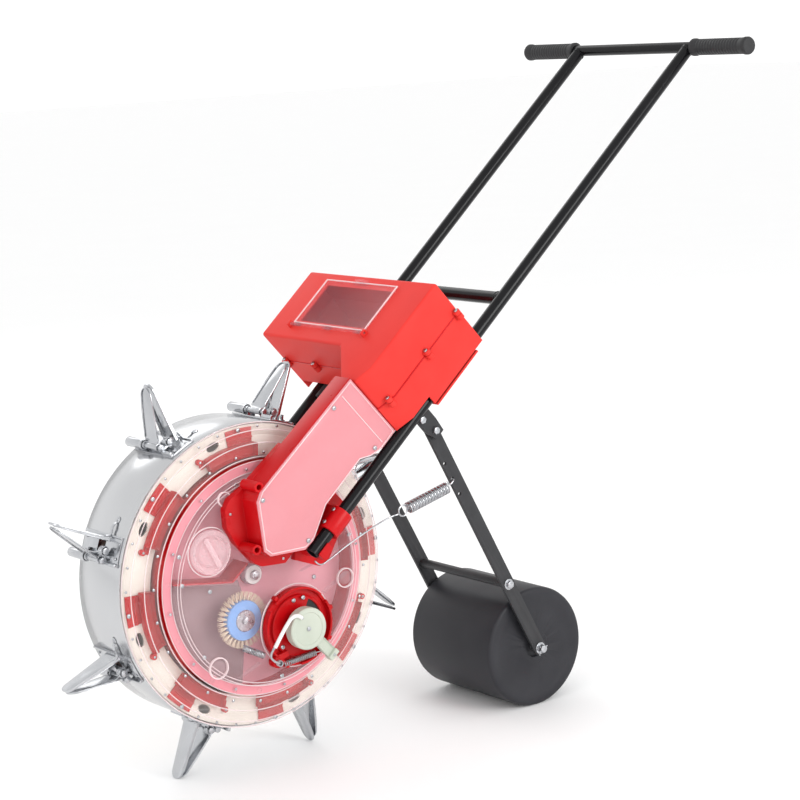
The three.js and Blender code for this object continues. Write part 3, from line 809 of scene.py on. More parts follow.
# %% Moving half
def leaf():
    pressed = fitted("beak_flap_1", "opener_leaf", 0.4, bench=spoke(0))
    slope = math.atan2(LEAF_TIP[1] - HINGE[1], LEAF_TIP[0] - HINGE[0])
    outline = [(12, -16.6), (70, -12.6), (80, -9), (85, 0), (80, 9), (70, 12.6), (12, 16.6)]
    points = []
    for along, across in outline:
        x = HINGE[0] + along * math.cos(slope) + 0.6
        points.append((x, BAND_MIDDLE + across, HINGE[1] + along * math.sin(slope) + 0.6))
    rim = wire("leaf_rim", points, 0.7)
    mouth = cut(rod("barrel_mouth", 8, 40.4, 46, *HINGE), rod("bore", 6.6, 38, 44, *HINGE, edge=0))
    return joined("opener_leaf", pressed, rim, mouth)


def hinge_springs():
    spring_pin = rod("spring_pin", 2.6, -9, 4, *SPRING_AT)
    head = rod("spring_head", 5, -11, -9, *SPRING_AT, 0.6)
    near = coil("spring_near", (SPRING_X, -8, SPRING_Z), (SPRING_X, 1, SPRING_Z), 6.4, 1.0, 5)
    far = coil("spring_far", (HINGE[0], 38.4, HINGE[1]), (HINGE[0], 40.2, HINGE[1]), 5.2, 0.7, 2)
    leg = wire("spring_leg", [(242, -6, 20), (247, -2, 24), (256, 3.5, 25)], 0.9)
    end = rod("pin_end", 5, -6, -3, *HINGE, 0.6)
    return joined("opener_springs", spring_pin, head, near, far, leg, end)


def stop_strap():
    """An S-shaped strap from the fixed blade back to a screw on the band."""
    outer = [(238, -0.8), (238, -2.4), (231.6, -4), (230, -9), (231.2, -14.5), (229, -21),
             (226, -23.5)]
    inner = [(225, -22.2), (227.6, -20), (229.6, -14.2), (228.4, -8.6), (229.8, -3), (232, -0.8)]
    strap = soften(plate("stop_strap", outer + inner, -3, 3), 0.3)
    disc = shift(turn(rod("strap_seat", 5.4, 0, 1.4, edge=0.4), 90, "Z"), 225.2)
    head = shift(turn(copied(RIVET), -90, "Z"), 226.6)
    seat = turn(joined("strap_seat", disc, head), -6.85)
    return joined("stop_strap", strap, seat)


moving_half = leaf()
spring_set = hinge_springs()
strap_set = stop_strap()
# A black disc deep in each hinge barrel's mouth is painted shade, the dark inside of the hollow
# barrel.
plug = shift(rod("barrel_painted_shade", 6.4, 42.6, 43.8, edge=0.3), HINGE[0], 0, HINGE[1])
said("moving half", moving_half, spring_set, strap_set)

# %% Openers round the drum
OPENER_PIECES = [
    ("opener_trough", fixed_half, "drum", OPENER_STEEL, "beak_fixed"),
    ("opener_leaf", moving_half, "flap", OPENER_STEEL, "beak_flap"),
    ("opener_rivets", rivet_set, "drum", ZINC, None),
    ("opener_springs", spring_set, "drum", ZINC, None),
    ("stop_strap", strap_set, "drum", OPENER_STEEL, None),
    ("barrel_painted_shade", plug, "flap", TUBE_PAINT, None),
]
openers = []
for number in range(OPENERS):
    tag = f"_{number + 1}"
    for name, pattern, body, material, node in OPENER_PIECES:
        rides = body + tag if body == "flap" else body
        nodes = [node + tag] if node else []
        piece = copied(pattern, name + tag)
        openers.append(finish(piece, rides, material, *nodes, bench=spoke(number)))
discard(fixed_half, moving_half, rivet_set, spring_set, strap_set, plug)
said("openers", *openers)

# %% [markdown]
# ## The metering chamber
# A shallow red tray faces the near side and doesn't turn. Seed waits above its sloping shelf.
# A pink sheet covers the tray's floor, and a grey plate lines it below the shelf. The tray is
# spun, and its outlet is cut away at the bottom, where seed falls into the cups.

# %% Chamber
BRUSH = (-34.5, -58)
METER = (41.5, -76.5)
FILLER = (-98.6, 58.2)
chamber = turned("seed_chamber_tray", [
    (10.4, -24), (167, -24), (168, -25), (168, -61.6), (168.4, -62), (170.6, -62),
    (171, -61.6), (171, -21), (10.4, -21),
], DRUM_STEPS)
SHELF = [(-150, 15), (-50, 0.5), (-22, 24), (-24, 26), (-51, 3.2), (-150, 17.8)]
shelf = soften(plate("shelf", SHELF, -60, -23), 0.4)
outlet = sector("outlet", 160, 176, -72, -52, -56, -38, 0)
chamber = joined("seed_chamber_tray", cut(chamber, outlet), shelf)
finish(chamber, "root", CASTING_RED, "seed_chamber")

lining_edge = arc(0, 0, 163, 187, 262, 30) + [(-8, -42), (-20, -6), (-50, -3), (-140, 10)]
lining = soften(plate("chamber_lining", lining_edge, -25.4, -24.3), 0.3)
finish(lining, "root", BACK_GREY)
BACK_SHEET = [(15.4, -24.2), (164, -24.2), (164, -24.05), (15.4, -24.05)]
pink_back = turned("chamber_back_sheet", BACK_SHEET, 96)
finish(pink_back, "root", BACK_PINK)
said("chamber", chamber, lining, pink_back)

# %% [markdown]
# The clear cover has a proud bead near its edge, a flange with round bosses, three plugged
# ports and stiffening ribs on its inside. The holes for the metering dish, the filler and the
# chute are cut with the Boolean modifier, because their outlines cross the spun faces.


# %% Cover
COVER_FACE = -77.3
COVER = [
    (0, -77.3), (149.6, -77.3), (150.6, -79.2), (151.6, -79.8), (154.6, -79.8), (155.6, -79.2),
    (157, -77.3), (157.6, -66), (158.4, -64.9), (171.8, -64.9), (172.5, -64.3), (172.5, -62.9),
    (171.8, -62.4), (156, -62.4), (155.2, -63.2), (154.4, -75), (0, -75),
]
CHUTE_MOUTH = [(28, 64), (60, 106), (90, 102), (90, 50), (58, 34)]
PORTS = [(-95.6, -112.4, 16), (133.7, -23.3, 15), (-68.5, 129.3, 11)]
COVER_RIBS = [
    ((-148, 17), (-52, 2.4), -66), ((98, -40), (150, -14), -66),
    ((60, 0), (148, 26), -68), ((-20, -122), (-60, -138), -66),
]


def ring(name, radius, wall, y0, y1, x, z, steps=48):
    section = [(radius - wall, y0), (radius, y0), (radius, y1 + 0.5), (radius - 0.5, y1),
               (radius - wall + 0.5, y1), (radius - wall, y1 + 0.5)]
    return turned(name, section, steps, x, z)


def rib(name, start, end, y0, y1, thick=1.4):
    (x0, z0), (x1, z1) = start, end
    length = math.hypot(x1 - x0, z1 - z0)
    bar = block(name, 0, length, y0, y1, -thick / 2, thick / 2, 0.3)
    turn(bar, math.degrees(math.atan2(z1 - z0, x1 - x0)))
    return shift(bar, x0, 0, z0)


cover = turned("chamber_cover_clear", COVER, DRUM_STEPS)
mouth = turn(plate("mouth", CHUTE_MOUTH, -90, -70), SLOPE_DEG)
meter_hole = rod("meter_hole", 49, -90, -70, *METER, edge=0, steps=96)
filler_hole = rod("filler_hole", 24, -90, -70, *FILLER, edge=0, steps=64)
cut(cover, mouth, meter_hole, filler_hole)
ON_COVER = COVER_FACE + 0.2
extras = [rod("plug", r - 5, ON_COVER, COVER_FACE - 2.4, x, z, 0.8) for x, z, r in PORTS]
rims = [ring("port", r, 1.8, ON_COVER, COVER_FACE - 4, x, z) for x, z, r in PORTS]
rims.append(ring("filler_seat", 36, 1.6, ON_COVER, COVER_FACE - 2.2, *FILLER, 64))
rims.append(ring("meter_seat", 62, 1.6, ON_COVER, COVER_FACE - 2.0, *METER, 64))
extras += [rib("rib", start, end, -75.2, back) for start, end, back in COVER_RIBS]
extras += [rod("boss", 3.8, -64, -69, x, z, 0.6, 20) for x, y, z in around(165, 0, 24, 7.5)]
cover = joined("chamber_cover_clear", cover, *extras)
finish(cover, "root", COVER_CLEAR, "chamber_cover")
# The thin ring lying on the flange is a painted sheen in a more opaque pink clear finish.
SHEEN = [(158.6, -65.4), (171.4, -65.4), (171.4, -65), (158.6, -65)]
sheen = turned("cover_flange_sheen", SHEEN, DRUM_STEPS)
finish(sheen, "root", FLANGE_PAINTED_SHEEN)
# The beads along the cover's bead and flange, and the port and seat rings, are painted highlights in
# the pale, more opaque clear finish.
cover_steps = [(172.2, -64.9, 0.7), (155.6, -79.3, 0.6), (151, -79.5, 0.6), (158, -65.6, 0.7)]
finish(edge_lines("cover_beads", cover_steps, *rims), "root", EDGE_PAINTED_HIGHLIGHT)

cover_spots = [(-101.4, 1), (-146.8, 17.9), (-148.5, 60), (-46.5, 145.9), (78.7, -11.7),
               (-118, -92), (12, -147), (146, 40)]
cover_screws = scattered("cover_screws", SCREW, [(x, COVER_FACE, z) for x, z in cover_spots])
flange_screws = scattered("flange_screws", small_screw, around(165, -69, 12, 7.5))
for piece in (cover_screws, flange_screws):
    finish(piece, "root", ZINC)
said("cover", cover, cover_screws, flange_screws)

# %% [markdown]
# The filler cap is a shallow clear cup with a bar across it for the fingers. The axle ends in
# a nut on a white washer, which can be seen through the cover.

# %% Filler cap and axle end
cap_disc = turned("filler_disc", [
    (0, -85), (24, -85), (25.2, -86.9), (30.4, -86.9), (32, -85.3), (32, -78.3), (31.5, -77.8),
    (22.5, -77.8), (22.5, -70.4), (22, -70), (19.5, -70), (19.5, -83), (0, -83),
], 72)
grip_bar = turn(block("filler_grip", -24, 24, -91, -84.6, -3.8, 3.8, 2.4), -64)
filler = shift(joined("filler_cap_clear", cap_disc, grip_bar), FILLER[0], 0, FILLER[1])
finish(filler, "filler", CAP_CLEAR, "filler_cap")

axle = rod("main_axle_bar", 10, -24.4, 112, edge=0.8)
collar = rod("axle_collar", 15, -37.4, -24.4, edge=0.8, steps=48)
stud = rod("axle_stud", 4, -46, -36, edge=0.6)
axle = joined("main_axle_bar", axle, collar, stud, shift(nut("axle_nut", 13, 6), 0, -38.6))
finish(axle, "root", ZINC, "main_axle")
WASHER = [(4.4, -38.6), (13.4, -38.6), (14, -38), (14, -37.5), (4.4, -37.5)]
axle_washer = turned("axle_washer", WASHER, 48)
finish(axle_washer, "root", SLEEVE_WHITE)
said("cap and axle", filler, axle, axle_washer)

# %% [markdown]
# ## Brush and metering wheel
# The brush wipes spare seed off the metering wheel. Its blue core holds a fan of bristle
# tufts. One tuft is a few tapered strands that spread apart, and it is copied round the core.


# %% Brush
TUFTS = 30


def strand(lean, y):
    clear()
    bpy.ops.mesh.primitive_cone_add(
        vertices=5, radius1=0.9 * MM, radius2=0.55 * MM, depth=15 * MM, end_fill_type="NGON",
        rotation=(0, math.pi / 2, 0),
    )
    piece = bpy.context.active_object
    bpy.ops.object.transform_apply(location=False, rotation=True, scale=False)
    return shift(turn(shift(piece, 7.5), lean), 27, y)


def tuft():
    leans = [(-13, -56.6), (-7, -51.6), (-2, -57.2), (2, -54), (7, -50.8), (12, -55)]
    return joined("tuft", *[strand(lean, y) for lean, y in leans])


core = turned("brush_core", [
    (0, -60), (11, -60), (12, -61.4), (18, -61.4), (20, -60.4), (28.6, -60.4), (29.6, -59.2),
    (29.6, -49), (28.6, -48), (0, -48),
], 64)
first_tuft = tuft()
tufts = [turn(copied(first_tuft), i * 360 / TUFTS) for i in range(TUFTS)]
discard(first_tuft)
fan = joined("brush_bristles", *tufts)
hub = turned("brush_hub", [(0, -63.8), (15, -63.8), (16, -62.8), (16, -61.4), (0, -61.4)], 48)
hub = joined("brush_hub", hub, rod("shaft", 4, -68, -12), shift(nut("brush_nut", 12, 4), 0, -63.8))
for piece, material in ((core, BRUSH_BLUE), (hub, ZINC)):
    finish(shift(piece, BRUSH[0], 0, BRUSH[1]), "brush", material)
finish(shift(fan, BRUSH[0], 0, BRUSH[1]), "brush", BRISTLE, "brush_wheel")
wheel = from_cad("meter_wheel", "meter_wheel_pocketed", 0.4)
finish(wheel, "meter_rotor", NYLON, "meter_wheel", bench=Matrix())
said("brush and wheel", core, fan, hub, wheel)

# %% [markdown]
# The metering dish is the red round housing in front. A pale cap on its boss turns as the
# rate lever, and a bent wire latch with a white sleeve keeps it in place.

# %% Metering dish
dish = turned("meter_dish", [
    (0, -104), (11.4, -104), (12, -103.4), (12, -87), (13, -86), (44, -86), (45.5, -84.8),
    (45.5, -82), (46.5, -81), (53.6, -81), (54.5, -82), (54.5, -89.4), (55.1, -90), (57.4, -90),
    (58, -89.4), (58, -77.8), (48, -77.8), (48, -65), (44, -65), (44, -75.5), (0, -75.5),
], 96)
notches = [turn(block("notch", 50, 60, -92, -84, -7, 7, 1), a) for a in (38, 141, 262)]
window = sector("window", 31, 42, 14, 62, -90, -83, 0)
cut(dish, joined("notches", *notches), window)
ears = [turn(block("ear", 55, 63, -88, -78, -3.4, 3.4, 1), a) for a in (16, 128, 246, 332)]
dish = shift(joined("meter_dish", dish, *ears), METER[0], 0, METER[1])
lug = rod("latch_lug", 8, -92, -77.8, -2, -122, 1.2)
foot = rib("dish_foot", (-4, -118), (18, -112), -90, -78, 9)
dish = joined("meter_dish", dish, lug, foot)
finish(dish, "root", CASTING_RED, "meter_housing")
# A thin black sheet on the floor of the window's shallow recess is painted shade, the dark inside of
# the slot.
slit_painted_shade = sector("dish_slit_painted_shade", 31.4, 41.6, 14.6, 61.4, -83.2, -82.9, 0)
finish(shift(slit_painted_shade, METER[0], 0, METER[1]), "root", GRIP_RUBBER)
dish_places = [(48.6, -90, -34.7), (-2, -92, -122)]
dish_places += [(METER[0] + x, -86, METER[1] + z) for x, _, z in around(40, 0, 3, 100)]
dish_screws = scattered("dish_screws", SCREW, dish_places)
finish(dish_screws, "root", ZINC)
said("dish", dish, slit_painted_shade, dish_screws)

# %% Rate cap, latch and small springs
rate_cap = turned("rate_cap", [
    (0, -110.8), (23.6, -110.8), (24.6, -112), (29.6, -112), (31, -110.6), (31, -97.5),
    (30.5, -97), (28, -97), (28, -107), (0, -107),
], 72)
lever = hollowed(block("rate_lever", 26, 68, -109.4, -100, -8, 8, 0), (0, -1, 0), 109, 2, 3)
soften(lever, 0.6)
block_end = block("lever_end", 60, 68.5, -111, -99, -9, 9, 1)
rate_cap = joined("rate_cap", rate_cap, turn(joined("lever", lever, block_end), -48))
finish(shift(rate_cap, METER[0], 0, METER[1]), "rate_cap", NYLON, "meter_cap")
pin = joined("rate_pin", rod("pin", 3.4, -112.6, -108, *METER, 0.6),
             shift(copied(small_screw), METER[0] + 43, -111, METER[1] - 48))
finish(pin, "rate_cap", ZINC)

LATCH = [
    (-2, -92.6, -122), (-2, -96, -122), (-14, -98.5, -115), (-20, -101, -106), (-12, -107, -88),
    (2, -113, -63), (10, -114.4, -54), (20, -114.8, -52), (30, -114.8, -58),
]
latch = wire("latch_wire", LATCH, 1.8, sides=4)
latch_coil = coil("latch_coil", (-2, -98, -122), (-2, -93, -122), 4, 0.9, 4)
finish(joined("latch_wire", latch, latch_coil), "latch", ZINC, "meter_latch")
SLEEVE = [
    (-14.6, -105, -94), (-6, -109.5, -77), (3, -113.2, -62), (11, -114.4, -53.6),
    (20, -114.8, -52), (28, -114.8, -56.6),
]
sleeve = wire("latch_sleeve", SLEEVE, 2.9, sides=4)
finish(sleeve, "latch", SLEEVE_WHITE)
brush_spring = coil("brush_spring", (-56, -86, -90), (-22, -86, -108), 4.4, 0.8, 14)
gate_spring = coil("gate_spring", (10, -88, -127), (62, -96, -119), 4.2, 0.8, 18)
anchor = wire("spring_anchor", [(62, -96, -119), (70, -99, -117), (74, -99, -108)], 0.9)
springs = joined("metering_springs", brush_spring, gate_spring, anchor)
finish(springs, "root", ZINC)
said("cap, latch and springs", rate_cap, pin, latch, sleeve, springs)

# %% [markdown]
# ## Chute
# A red frame carries seed down from the hopper. Its front is a clear window held by screws,
# and two hollow bosses and a foot fix it to the chamber. The window has a bead round its edge.

# %% Chute
CHUTE = [
    (280.4, 129), (62, 134), (48, 128), (6, 68), (8, 54), (53, 13.5), (72, 11.5), (121, 31),
    (210, 31), (226, 19), (246, 12), (280.4, 12),
]
WINDOW_FRONT = -130
frame_red = fitted("feed_chute", "feed_chute_frame", 1.1, 3)
bosses = [ring("chute_boss", 7.6, 3.6, -90, -128, t, n, 32) for t, n in ((67, 138.4), (1.5, 78))]
chute = joined("feed_chute_frame", frame_red, *bosses)
finish(chute, "root", CASTING_RED, "feed_chute", bench=SLOPE)

pane = fitted("chute_window", "chute_window_pane", 0.7)
middle = (160, 75)
inner = [(t + (middle[0] - t) * 0.035, WINDOW_FRONT, n + (middle[1] - n) * 0.06) for t, n in CHUTE]
# The bead round the window and the line at its bend are painted highlights in the pale, more opaque
# clear finish.
bead = wire("window_bead", inner + inner[:1], 0.8, False)
fold = wire("window_fold", [(252, WINDOW_FRONT, 122), (252, WINDOW_FRONT, 20)], 0.7, False)
finish(pane, "root", PANE_CLEAR, "chute_window", bench=SLOPE)
finish(joined("window_beads", bead, fold), "root", EDGE_PAINTED_HIGHLIGHT, slot="clear_pane", bench=SLOPE)
window_spots = [(237, 24), (230, 121), (57, 122), (66, 20)]
window_screws = scattered("window_screws", SCREW, [(t, WINDOW_FRONT, n) for t, n in window_spots])
foot_screws = scattered("foot_screws", small_screw, [(20, -93, 128), (120, -93, 40), (32, -93, 12)])
for piece in (window_screws, foot_screws):
    finish(piece, "root", ZINC, bench=SLOPE)
said("chute", chute, pane, window_screws, foot_screws)

# %% [markdown]
# ## Hopper
# The hopper is two red mouldings screwed together at a seam half way up. The lower one is a
# CAD copy with softened edges. The upper one is drawn from its plan, rounded, trimmed at the
# seam and hollowed out. Screw tabs stand along the seam, and the lid is a clear pane.

# %% Hopper
SEAM = 60
HOPPER_TOP = 121
LID_HINGE = (366, 125.4)
base = fitted("hopper_base", "hopper_base_shell", 1.4, 3)
PLAN = [(476, -145), (476, 172), (342, 172), (342, -35), (281, -95), (281, -130), (309, -145)]


def drawn_in(outline, wall):
    """The outline moved inwards by a wall, corner by corner."""
    moved = []
    for i, (x, y) in enumerate(outline):
        (back_x, back_y), (next_x, next_y) = outline[i - 1], outline[(i + 1) % len(outline)]
        before = Vector((x - back_x, y - back_y)).normalized()
        after = Vector((next_x - x, next_y - y)).normalized()
        first, second = Vector((-before.y, before.x)), Vector((-after.y, after.x))
        step = (first + second) * (wall / (1 + first.dot(second)))
        moved.append((x + step.x, y + step.y))
    return moved


def hopper_top():
    shell = soften(slab("hopper_top_shell", PLAN, SEAM - 20, HOPPER_TOP), 4.5, 4)
    below = block("below", 250, 500, -200, 220, SEAM - 30, SEAM + 0.2, 0)
    inside = slab("inside", drawn_in(PLAN, 3), SEAM - 40, HOPPER_TOP - 3)
    door_hole = block("door_hole", 376, 452, -65, 102, HOPPER_TOP - 10, HOPPER_TOP + 5, 0)
    inlet = block("inlet", 270, 290, -124, -97, 18, 115, 0)
    cut(shell, below, inside, door_hole, inlet)
    ears = []
    for y in (-77.5, 110.5):
        ear = block("hinge_ear", 361, 371, y, y + 4, HOPPER_TOP - 1, 129.4, 0.8)
        ears.append(cut(ear, rod("pin_hole", 2.3, y - 5, y + 9, *LID_HINGE, 0)))
    return joined("hopper_top_shell", shell, *ears)


top = hopper_top()
TABS = [(298, -143.5), (391, -148.5), (470, -148.5), (338.5, 83), (338.5, 160), (479.5, -60),
        (479.5, 30), (479.5, 120), (391, 175.5), (454, 175.5)]


def stub(name, t, y, n0, n1, radius):
    """A round boss that stands up the slope's normal."""
    post = turn(rod(name, radius, n0, n1, edge=0.7, steps=28), -90, "X")
    return shift(post, t, y)


lower = [stub("tab", t, y, SEAM - 9, SEAM - 0.4, 5.4) for t, y in TABS]
upper = [stub("tab", t, y, SEAM + 0.4, SEAM + 7, 5.4) for t, y in TABS]
lip = block("lid_seat", 371, 457, -70, 107, HOPPER_TOP - 0.4, HOPPER_TOP + 0.3, 0)
cut(lip, block("hole", 377, 451, -64, 101, HOPPER_TOP - 5, HOPPER_TOP + 5, 0))
finish(joined("hopper_base_shell", base, *lower), "root", HOPPER_RED, "hopper_base",
       bench=SLOPE)
finish(joined("hopper_top_shell", top, lip, *upper), "root", HOPPER_RED, "hopper_top",
       bench=SLOPE)
upright_screw = turn(copied(SCREW, "upright_screw"), 90, "X")
seam_places = [(t, y, SEAM + 7) for t, y in TABS]
seam_screws = scattered("seam_screws", upright_screw, seam_places)
finish(seam_screws, "root", ZINC, bench=SLOPE)
seam_line = wire("hopper_seam_line", [(t, y, SEAM) for t, y in PLAN + PLAN[:1]], 1.3, False)
finish(seam_line, "root", CASTING_RED, slot="hopper_red", bench=SLOPE)
said("hopper", base, top, seam_screws, seam_line)

# %% Lid and clamp plate
lid = hollowed(block("hopper_lid", 370, 460, -71, 108, 121.5, 124.4, 0), (0, 0, 1), 124, 3.6, 1.4)
soften(lid, 0.4)
KNUCKLES = [(-71, -52), (10, 27), (89, 108)]
barrels = [rod("barrel", 3.4, y0, y1, *LID_HINGE) for y0, y1 in KNUCKLES]
webs = [block("web", 365.6, 371.4, y0, y1, 122.2, 124, 0.4) for y0, y1 in KNUCKLES]
hinge_pin = rod("lid_pin", 1.9, -77, 114, *LID_HINGE)
latch_tab = block("lid_tab", 455, 466, 5, 37, 121.5, 126, 1.2)
groove = block("lid_groove", 458, 463, 10, 32, 125.8, 127, 0.4)
lid = joined("hopper_lid_clear", lid, *barrels, *webs, hinge_pin, latch_tab, groove)
finish(lid, "door", LID_CLEAR, "hopper_door", bench=SLOPE)
# The rim round the lid is a painted highlight in the pale, more opaque clear finish.
LID_EDGE = [(371, -70), (459, -70), (459, 107), (371, 107), (371, -70)]
lid_rim = wire("hopper_lid_rim", [(t, y, 124.4) for t, y in LID_EDGE], 1.3, False)
finish(lid_rim, "door", EDGE_PAINTED_HIGHLIGHT, bench=SLOPE)
strap_plate = block("hopper_strap_plate", 354, 461, -141, 141, -14, -10.6, 0.8)
finish(strap_plate, "root", HOPPER_RED, "hopper_clamp_plate", bench=SLOPE)
plate_places = [(t, y, -14) for t in (364, 451) for y in (-134, -112, 112, 134)]
hanging_screw = turn(copied(SCREW, "hanging_screw"), -90, "X")
plate_screws = scattered("strap_plate_screws", hanging_screw, plate_places)
finish(plate_screws, "root", ZINC, bench=SLOPE)
said("lid and strap plate", lid, strap_plate, plate_screws)

# %% [markdown]
# ## Handle
# Two gloss black tubes run up the slope to the handle bar, and a cross bar holds them apart.
# Each tube is spun as a pipe with a real wall. Small beads of weld lie round the joints, and
# the rubber grips have turned grooves and a rolled end.

# %% Tubes and bars
TUBE_Y = 128
BAR_AT = 1097
CROSS_AT = 554
TUBE_START = 57


def pipe(name, radius, wall, start, end, steps=36):
    section = [(radius - wall, start), (radius - 0.4, start), (radius, start + 0.4),
               (radius, end - 0.4), (radius - 0.4, end), (radius - wall, end)]
    return turned(name, section, steps)


def weld_bead(radius, thickness):
    loop = [(x, 0, z) for x, z in arc(0, 0, radius, 0, 360, 40)]
    return wire("weld_bead", loop, thickness, False)


handle = []
for side, word in ((-1, "left"), (1, "right")):
    tube = turn(pipe(f"handle_tube_{word}_pipe", 10, 1.6, TUBE_START, BAR_AT - 3), 90, "Z")
    cope = rod("cope", 9.4, -20, 20, BAR_AT, 0, 0)
    cut(tube, cope)
    weld = shift(turn(weld_bead(9.9, 0.9), 90, "Z"), BAR_AT - 8.6)
    tube = shift(joined(tube.name, tube, weld), 0, side * TUBE_Y)
    handle.append(finish(tube, "root", TUBE_PAINT, f"handle_tube_{word}", bench=SLOPE))

cross = pipe("handle_cross_pipe", 10, 1.6, -TUBE_Y + 2, TUBE_Y - 2)
sides = [shift(turn(rod("side", 10.4, -40, 40, edge=0), 90, "Z"), 0, s * TUBE_Y) for s in (-1, 1)]
cut(cross, joined("sides", *sides))
beads = [shift(weld_bead(9.9, 1.0), 0, s * (TUBE_Y - 9.6)) for s in (-1, 1)]
cross = shift(joined("handle_cross_pipe", cross, *beads), CROSS_AT)
handle.append(finish(cross, "root", TUBE_PAINT, "handle_cross_bar", bench=SLOPE))
bar = shift(pipe("handle_bar_pipe", 9, 1.5, -257, 257), BAR_AT)
handle.append(finish(bar, "root", TUBE_PAINT, "handle_bar", bench=SLOPE))
said("handle", *handle)

# %% Grips
GRIP_START = 139
GRIP_END = 260


def grip(name, side):
    outside = [(12.6, GRIP_START), (14, GRIP_START + 1), (14, GRIP_START + 6),
               (12.8, GRIP_START + 8)]
    for i in range(16):
        y = GRIP_START + 12 + i * 6
        outside += [(12.9, y), (12.3, y + 1), (12.3, y + 2), (12.9, y + 3)]
    outside += [(13.2, GRIP_END - 10), (14, GRIP_END - 8), (14, GRIP_END - 3), (12.6, GRIP_END - 0.6),
                (10, GRIP_END), (0, GRIP_END), (0, GRIP_END - 2.4), (9.4, GRIP_END - 2.4)]
    profile = [(r, side * y) for r, y in outside + [(9.4, GRIP_START)]]
    rubber = shift(turned(name, profile, 36), BAR_AT)
    word = "left" if side < 0 else "right"
    return finish(rubber, "root", GRIP_RUBBER, f"grip_{word}", bench=SLOPE)


grips = [grip("grip_left_rubber", -1), grip("grip_right_rubber", 1)]
said("grips", *grips)

# %% [markdown]
# ## Clamps, carrier and brackets
# Red moulded clamps hold the foot of each tube. The far one sits on a flat steel carrier that
# reaches down to the axle, and two plate brackets hang the roller's arms from the tubes.

# %% Clamps and brackets
clamp_left = fitted("tube_clamp_left", "clamp_left_moulding", 1.2, 3)
cheek = [ring("clamp_ring", 6.4, 2.6, -90, -94, t, n, 28) for t, n in ((101, -24), (76, -36))]
clamp_left = joined("clamp_left_moulding", clamp_left, *cheek)
finish(clamp_left, "root", CASTING_RED, "tube_clamp_left", bench=SLOPE)
clamp_right = fitted("tube_clamp_right", "clamp_right_moulding", 1.2, 3)
finish(clamp_right, "root", CASTING_RED, "tube_clamp_right", bench=SLOPE)
carrier = fitted("right_carrier", "carrier_plate", 0.6)
finish(carrier, "root", ARM_PAINT, "right_carrier", bench=SLOPE)
brackets = []
for word in ("left", "right"):
    hanger = fitted(f"arm_bracket_{word}", f"bracket_{word}_plate", 0.5)
    brackets.append(finish(hanger, "root", ARM_PAINT, f"arm_bracket_{word}", bench=SLOPE))

clamp_places = [(101, -94, -24), (76, -94, -36), (102, -90.4, 27), (67, -90.4, 5)]
clamp_screws = scattered("clamp_left_screws", SCREW, clamp_places)
collar_bolts = [shift(turn(copied(SCREW), 90, "X"), t, -TUBE_Y, 16) for t in (104, 127)]
joint_bolts = [shift(nut("nut", 10, 5), t, -117.6, n) for t, n in ((328, -21), (334, -52))]
near_bolts = joined("clamp_left_screws", clamp_screws, *collar_bolts, *joint_bolts)
finish(near_bolts, "root", ZINC, bench=SLOPE)
far_places = [(30, 100, 0), (60, 100, 12), (140, 100, 12), (140, 100, -12)]
far_bolts = scattered("carrier_screws", far_screw, far_places)
axle_far_nut = shift(turn(nut("far_nut", 24, 9), 180, "Z"), 0, 100.4)
finish(joined("carrier_screws", far_bolts, axle_far_nut), "root", ZINC, bench=SLOPE)
said("clamps and brackets", clamp_left, clamp_right, carrier, *brackets)

# %% [markdown]
# ## Press roller
# Two flat arms swing from the brackets and carry the roller on a long axle. A tie bar keeps
# them apart. The roller is a hollow plastic drum, and each of its ends steps in round the hub.

# %% Arms
ARM_Y = 107
TIE_AT = 297
arms = []
for word in ("left", "right"):
    strip = fitted(f"arm_{word}", f"arm_{word}_strip", 0.5, bench=ARM)
    arms.append(finish(strip, "roller_arm", ARM_PAINT, f"arm_{word}", bench=ARM))
tie = rod("arm_tie_rod", 7, -104, 104, TIE_AT, 0, 0.6)
arms.append(finish(tie, "roller_arm", ARM_PAINT, "arm_tie_bar", bench=ARM))

roller_shaft = rod("roller_shaft", 6, -119.4, 119.4, ARM_LENGTH, 0, 0.8)
fixings = []
for side in (-1, 1):
    for along, across in ((0, 11), (TIE_AT, 11), (ARM_LENGTH, 12)):
        one = nut("nut", across, across * 0.45)
        washer = rod("washer", across * 0.78, -1.2, 0, edge=0.3)
        pair = joined("nut", shift(one, 0, -1.2), washer)
        if side > 0:
            turn(pair, 180, "Z")
        fixings.append(shift(pair, along, side * (ARM_Y + 2.6)))
    pin_line = [(0, 117.4, 9), (0, 117.4, -9), (4, 118, -12)]
    fixings.append(wire("cotter", [(ARM_LENGTH + t, side * y, n) for t, y, n in pin_line], 0.9, False))
shaft = joined("roller_shaft", roller_shaft, *fixings)
arms.append(finish(shaft, "roller_arm", ZINC, "roller_axle", bench=ARM))
said("arms", *arms)

# %% Roller
ROLLER_R = 95
half_shell = [
    (6.4, -92), (16, -92), (17, -96), (26, -96), (28, -94.6), (70, -94.6), (78, -97), (84, -98),
    (90, -98), (92.6, -97.2), (94.3, -95.2), (95, -92.6),
]
ROLLER = half_shell + [(r, -y) for r, y in reversed(half_shell)]
roller = shift(turned("press_roller_drum", ROLLER, 128), ARM_LENGTH)
finish(roller, "roller", ROLLER_GREY, "press_roller", bench=ARM)
said("roller", roller)

# %% [markdown]
# The tension spring runs from the left arm towards the chute's foot, where its long wire hooks
# onto the clamp at the end of the left tube. The spring crosses the arm's joint, so it is taken
# off every body and left where it is.

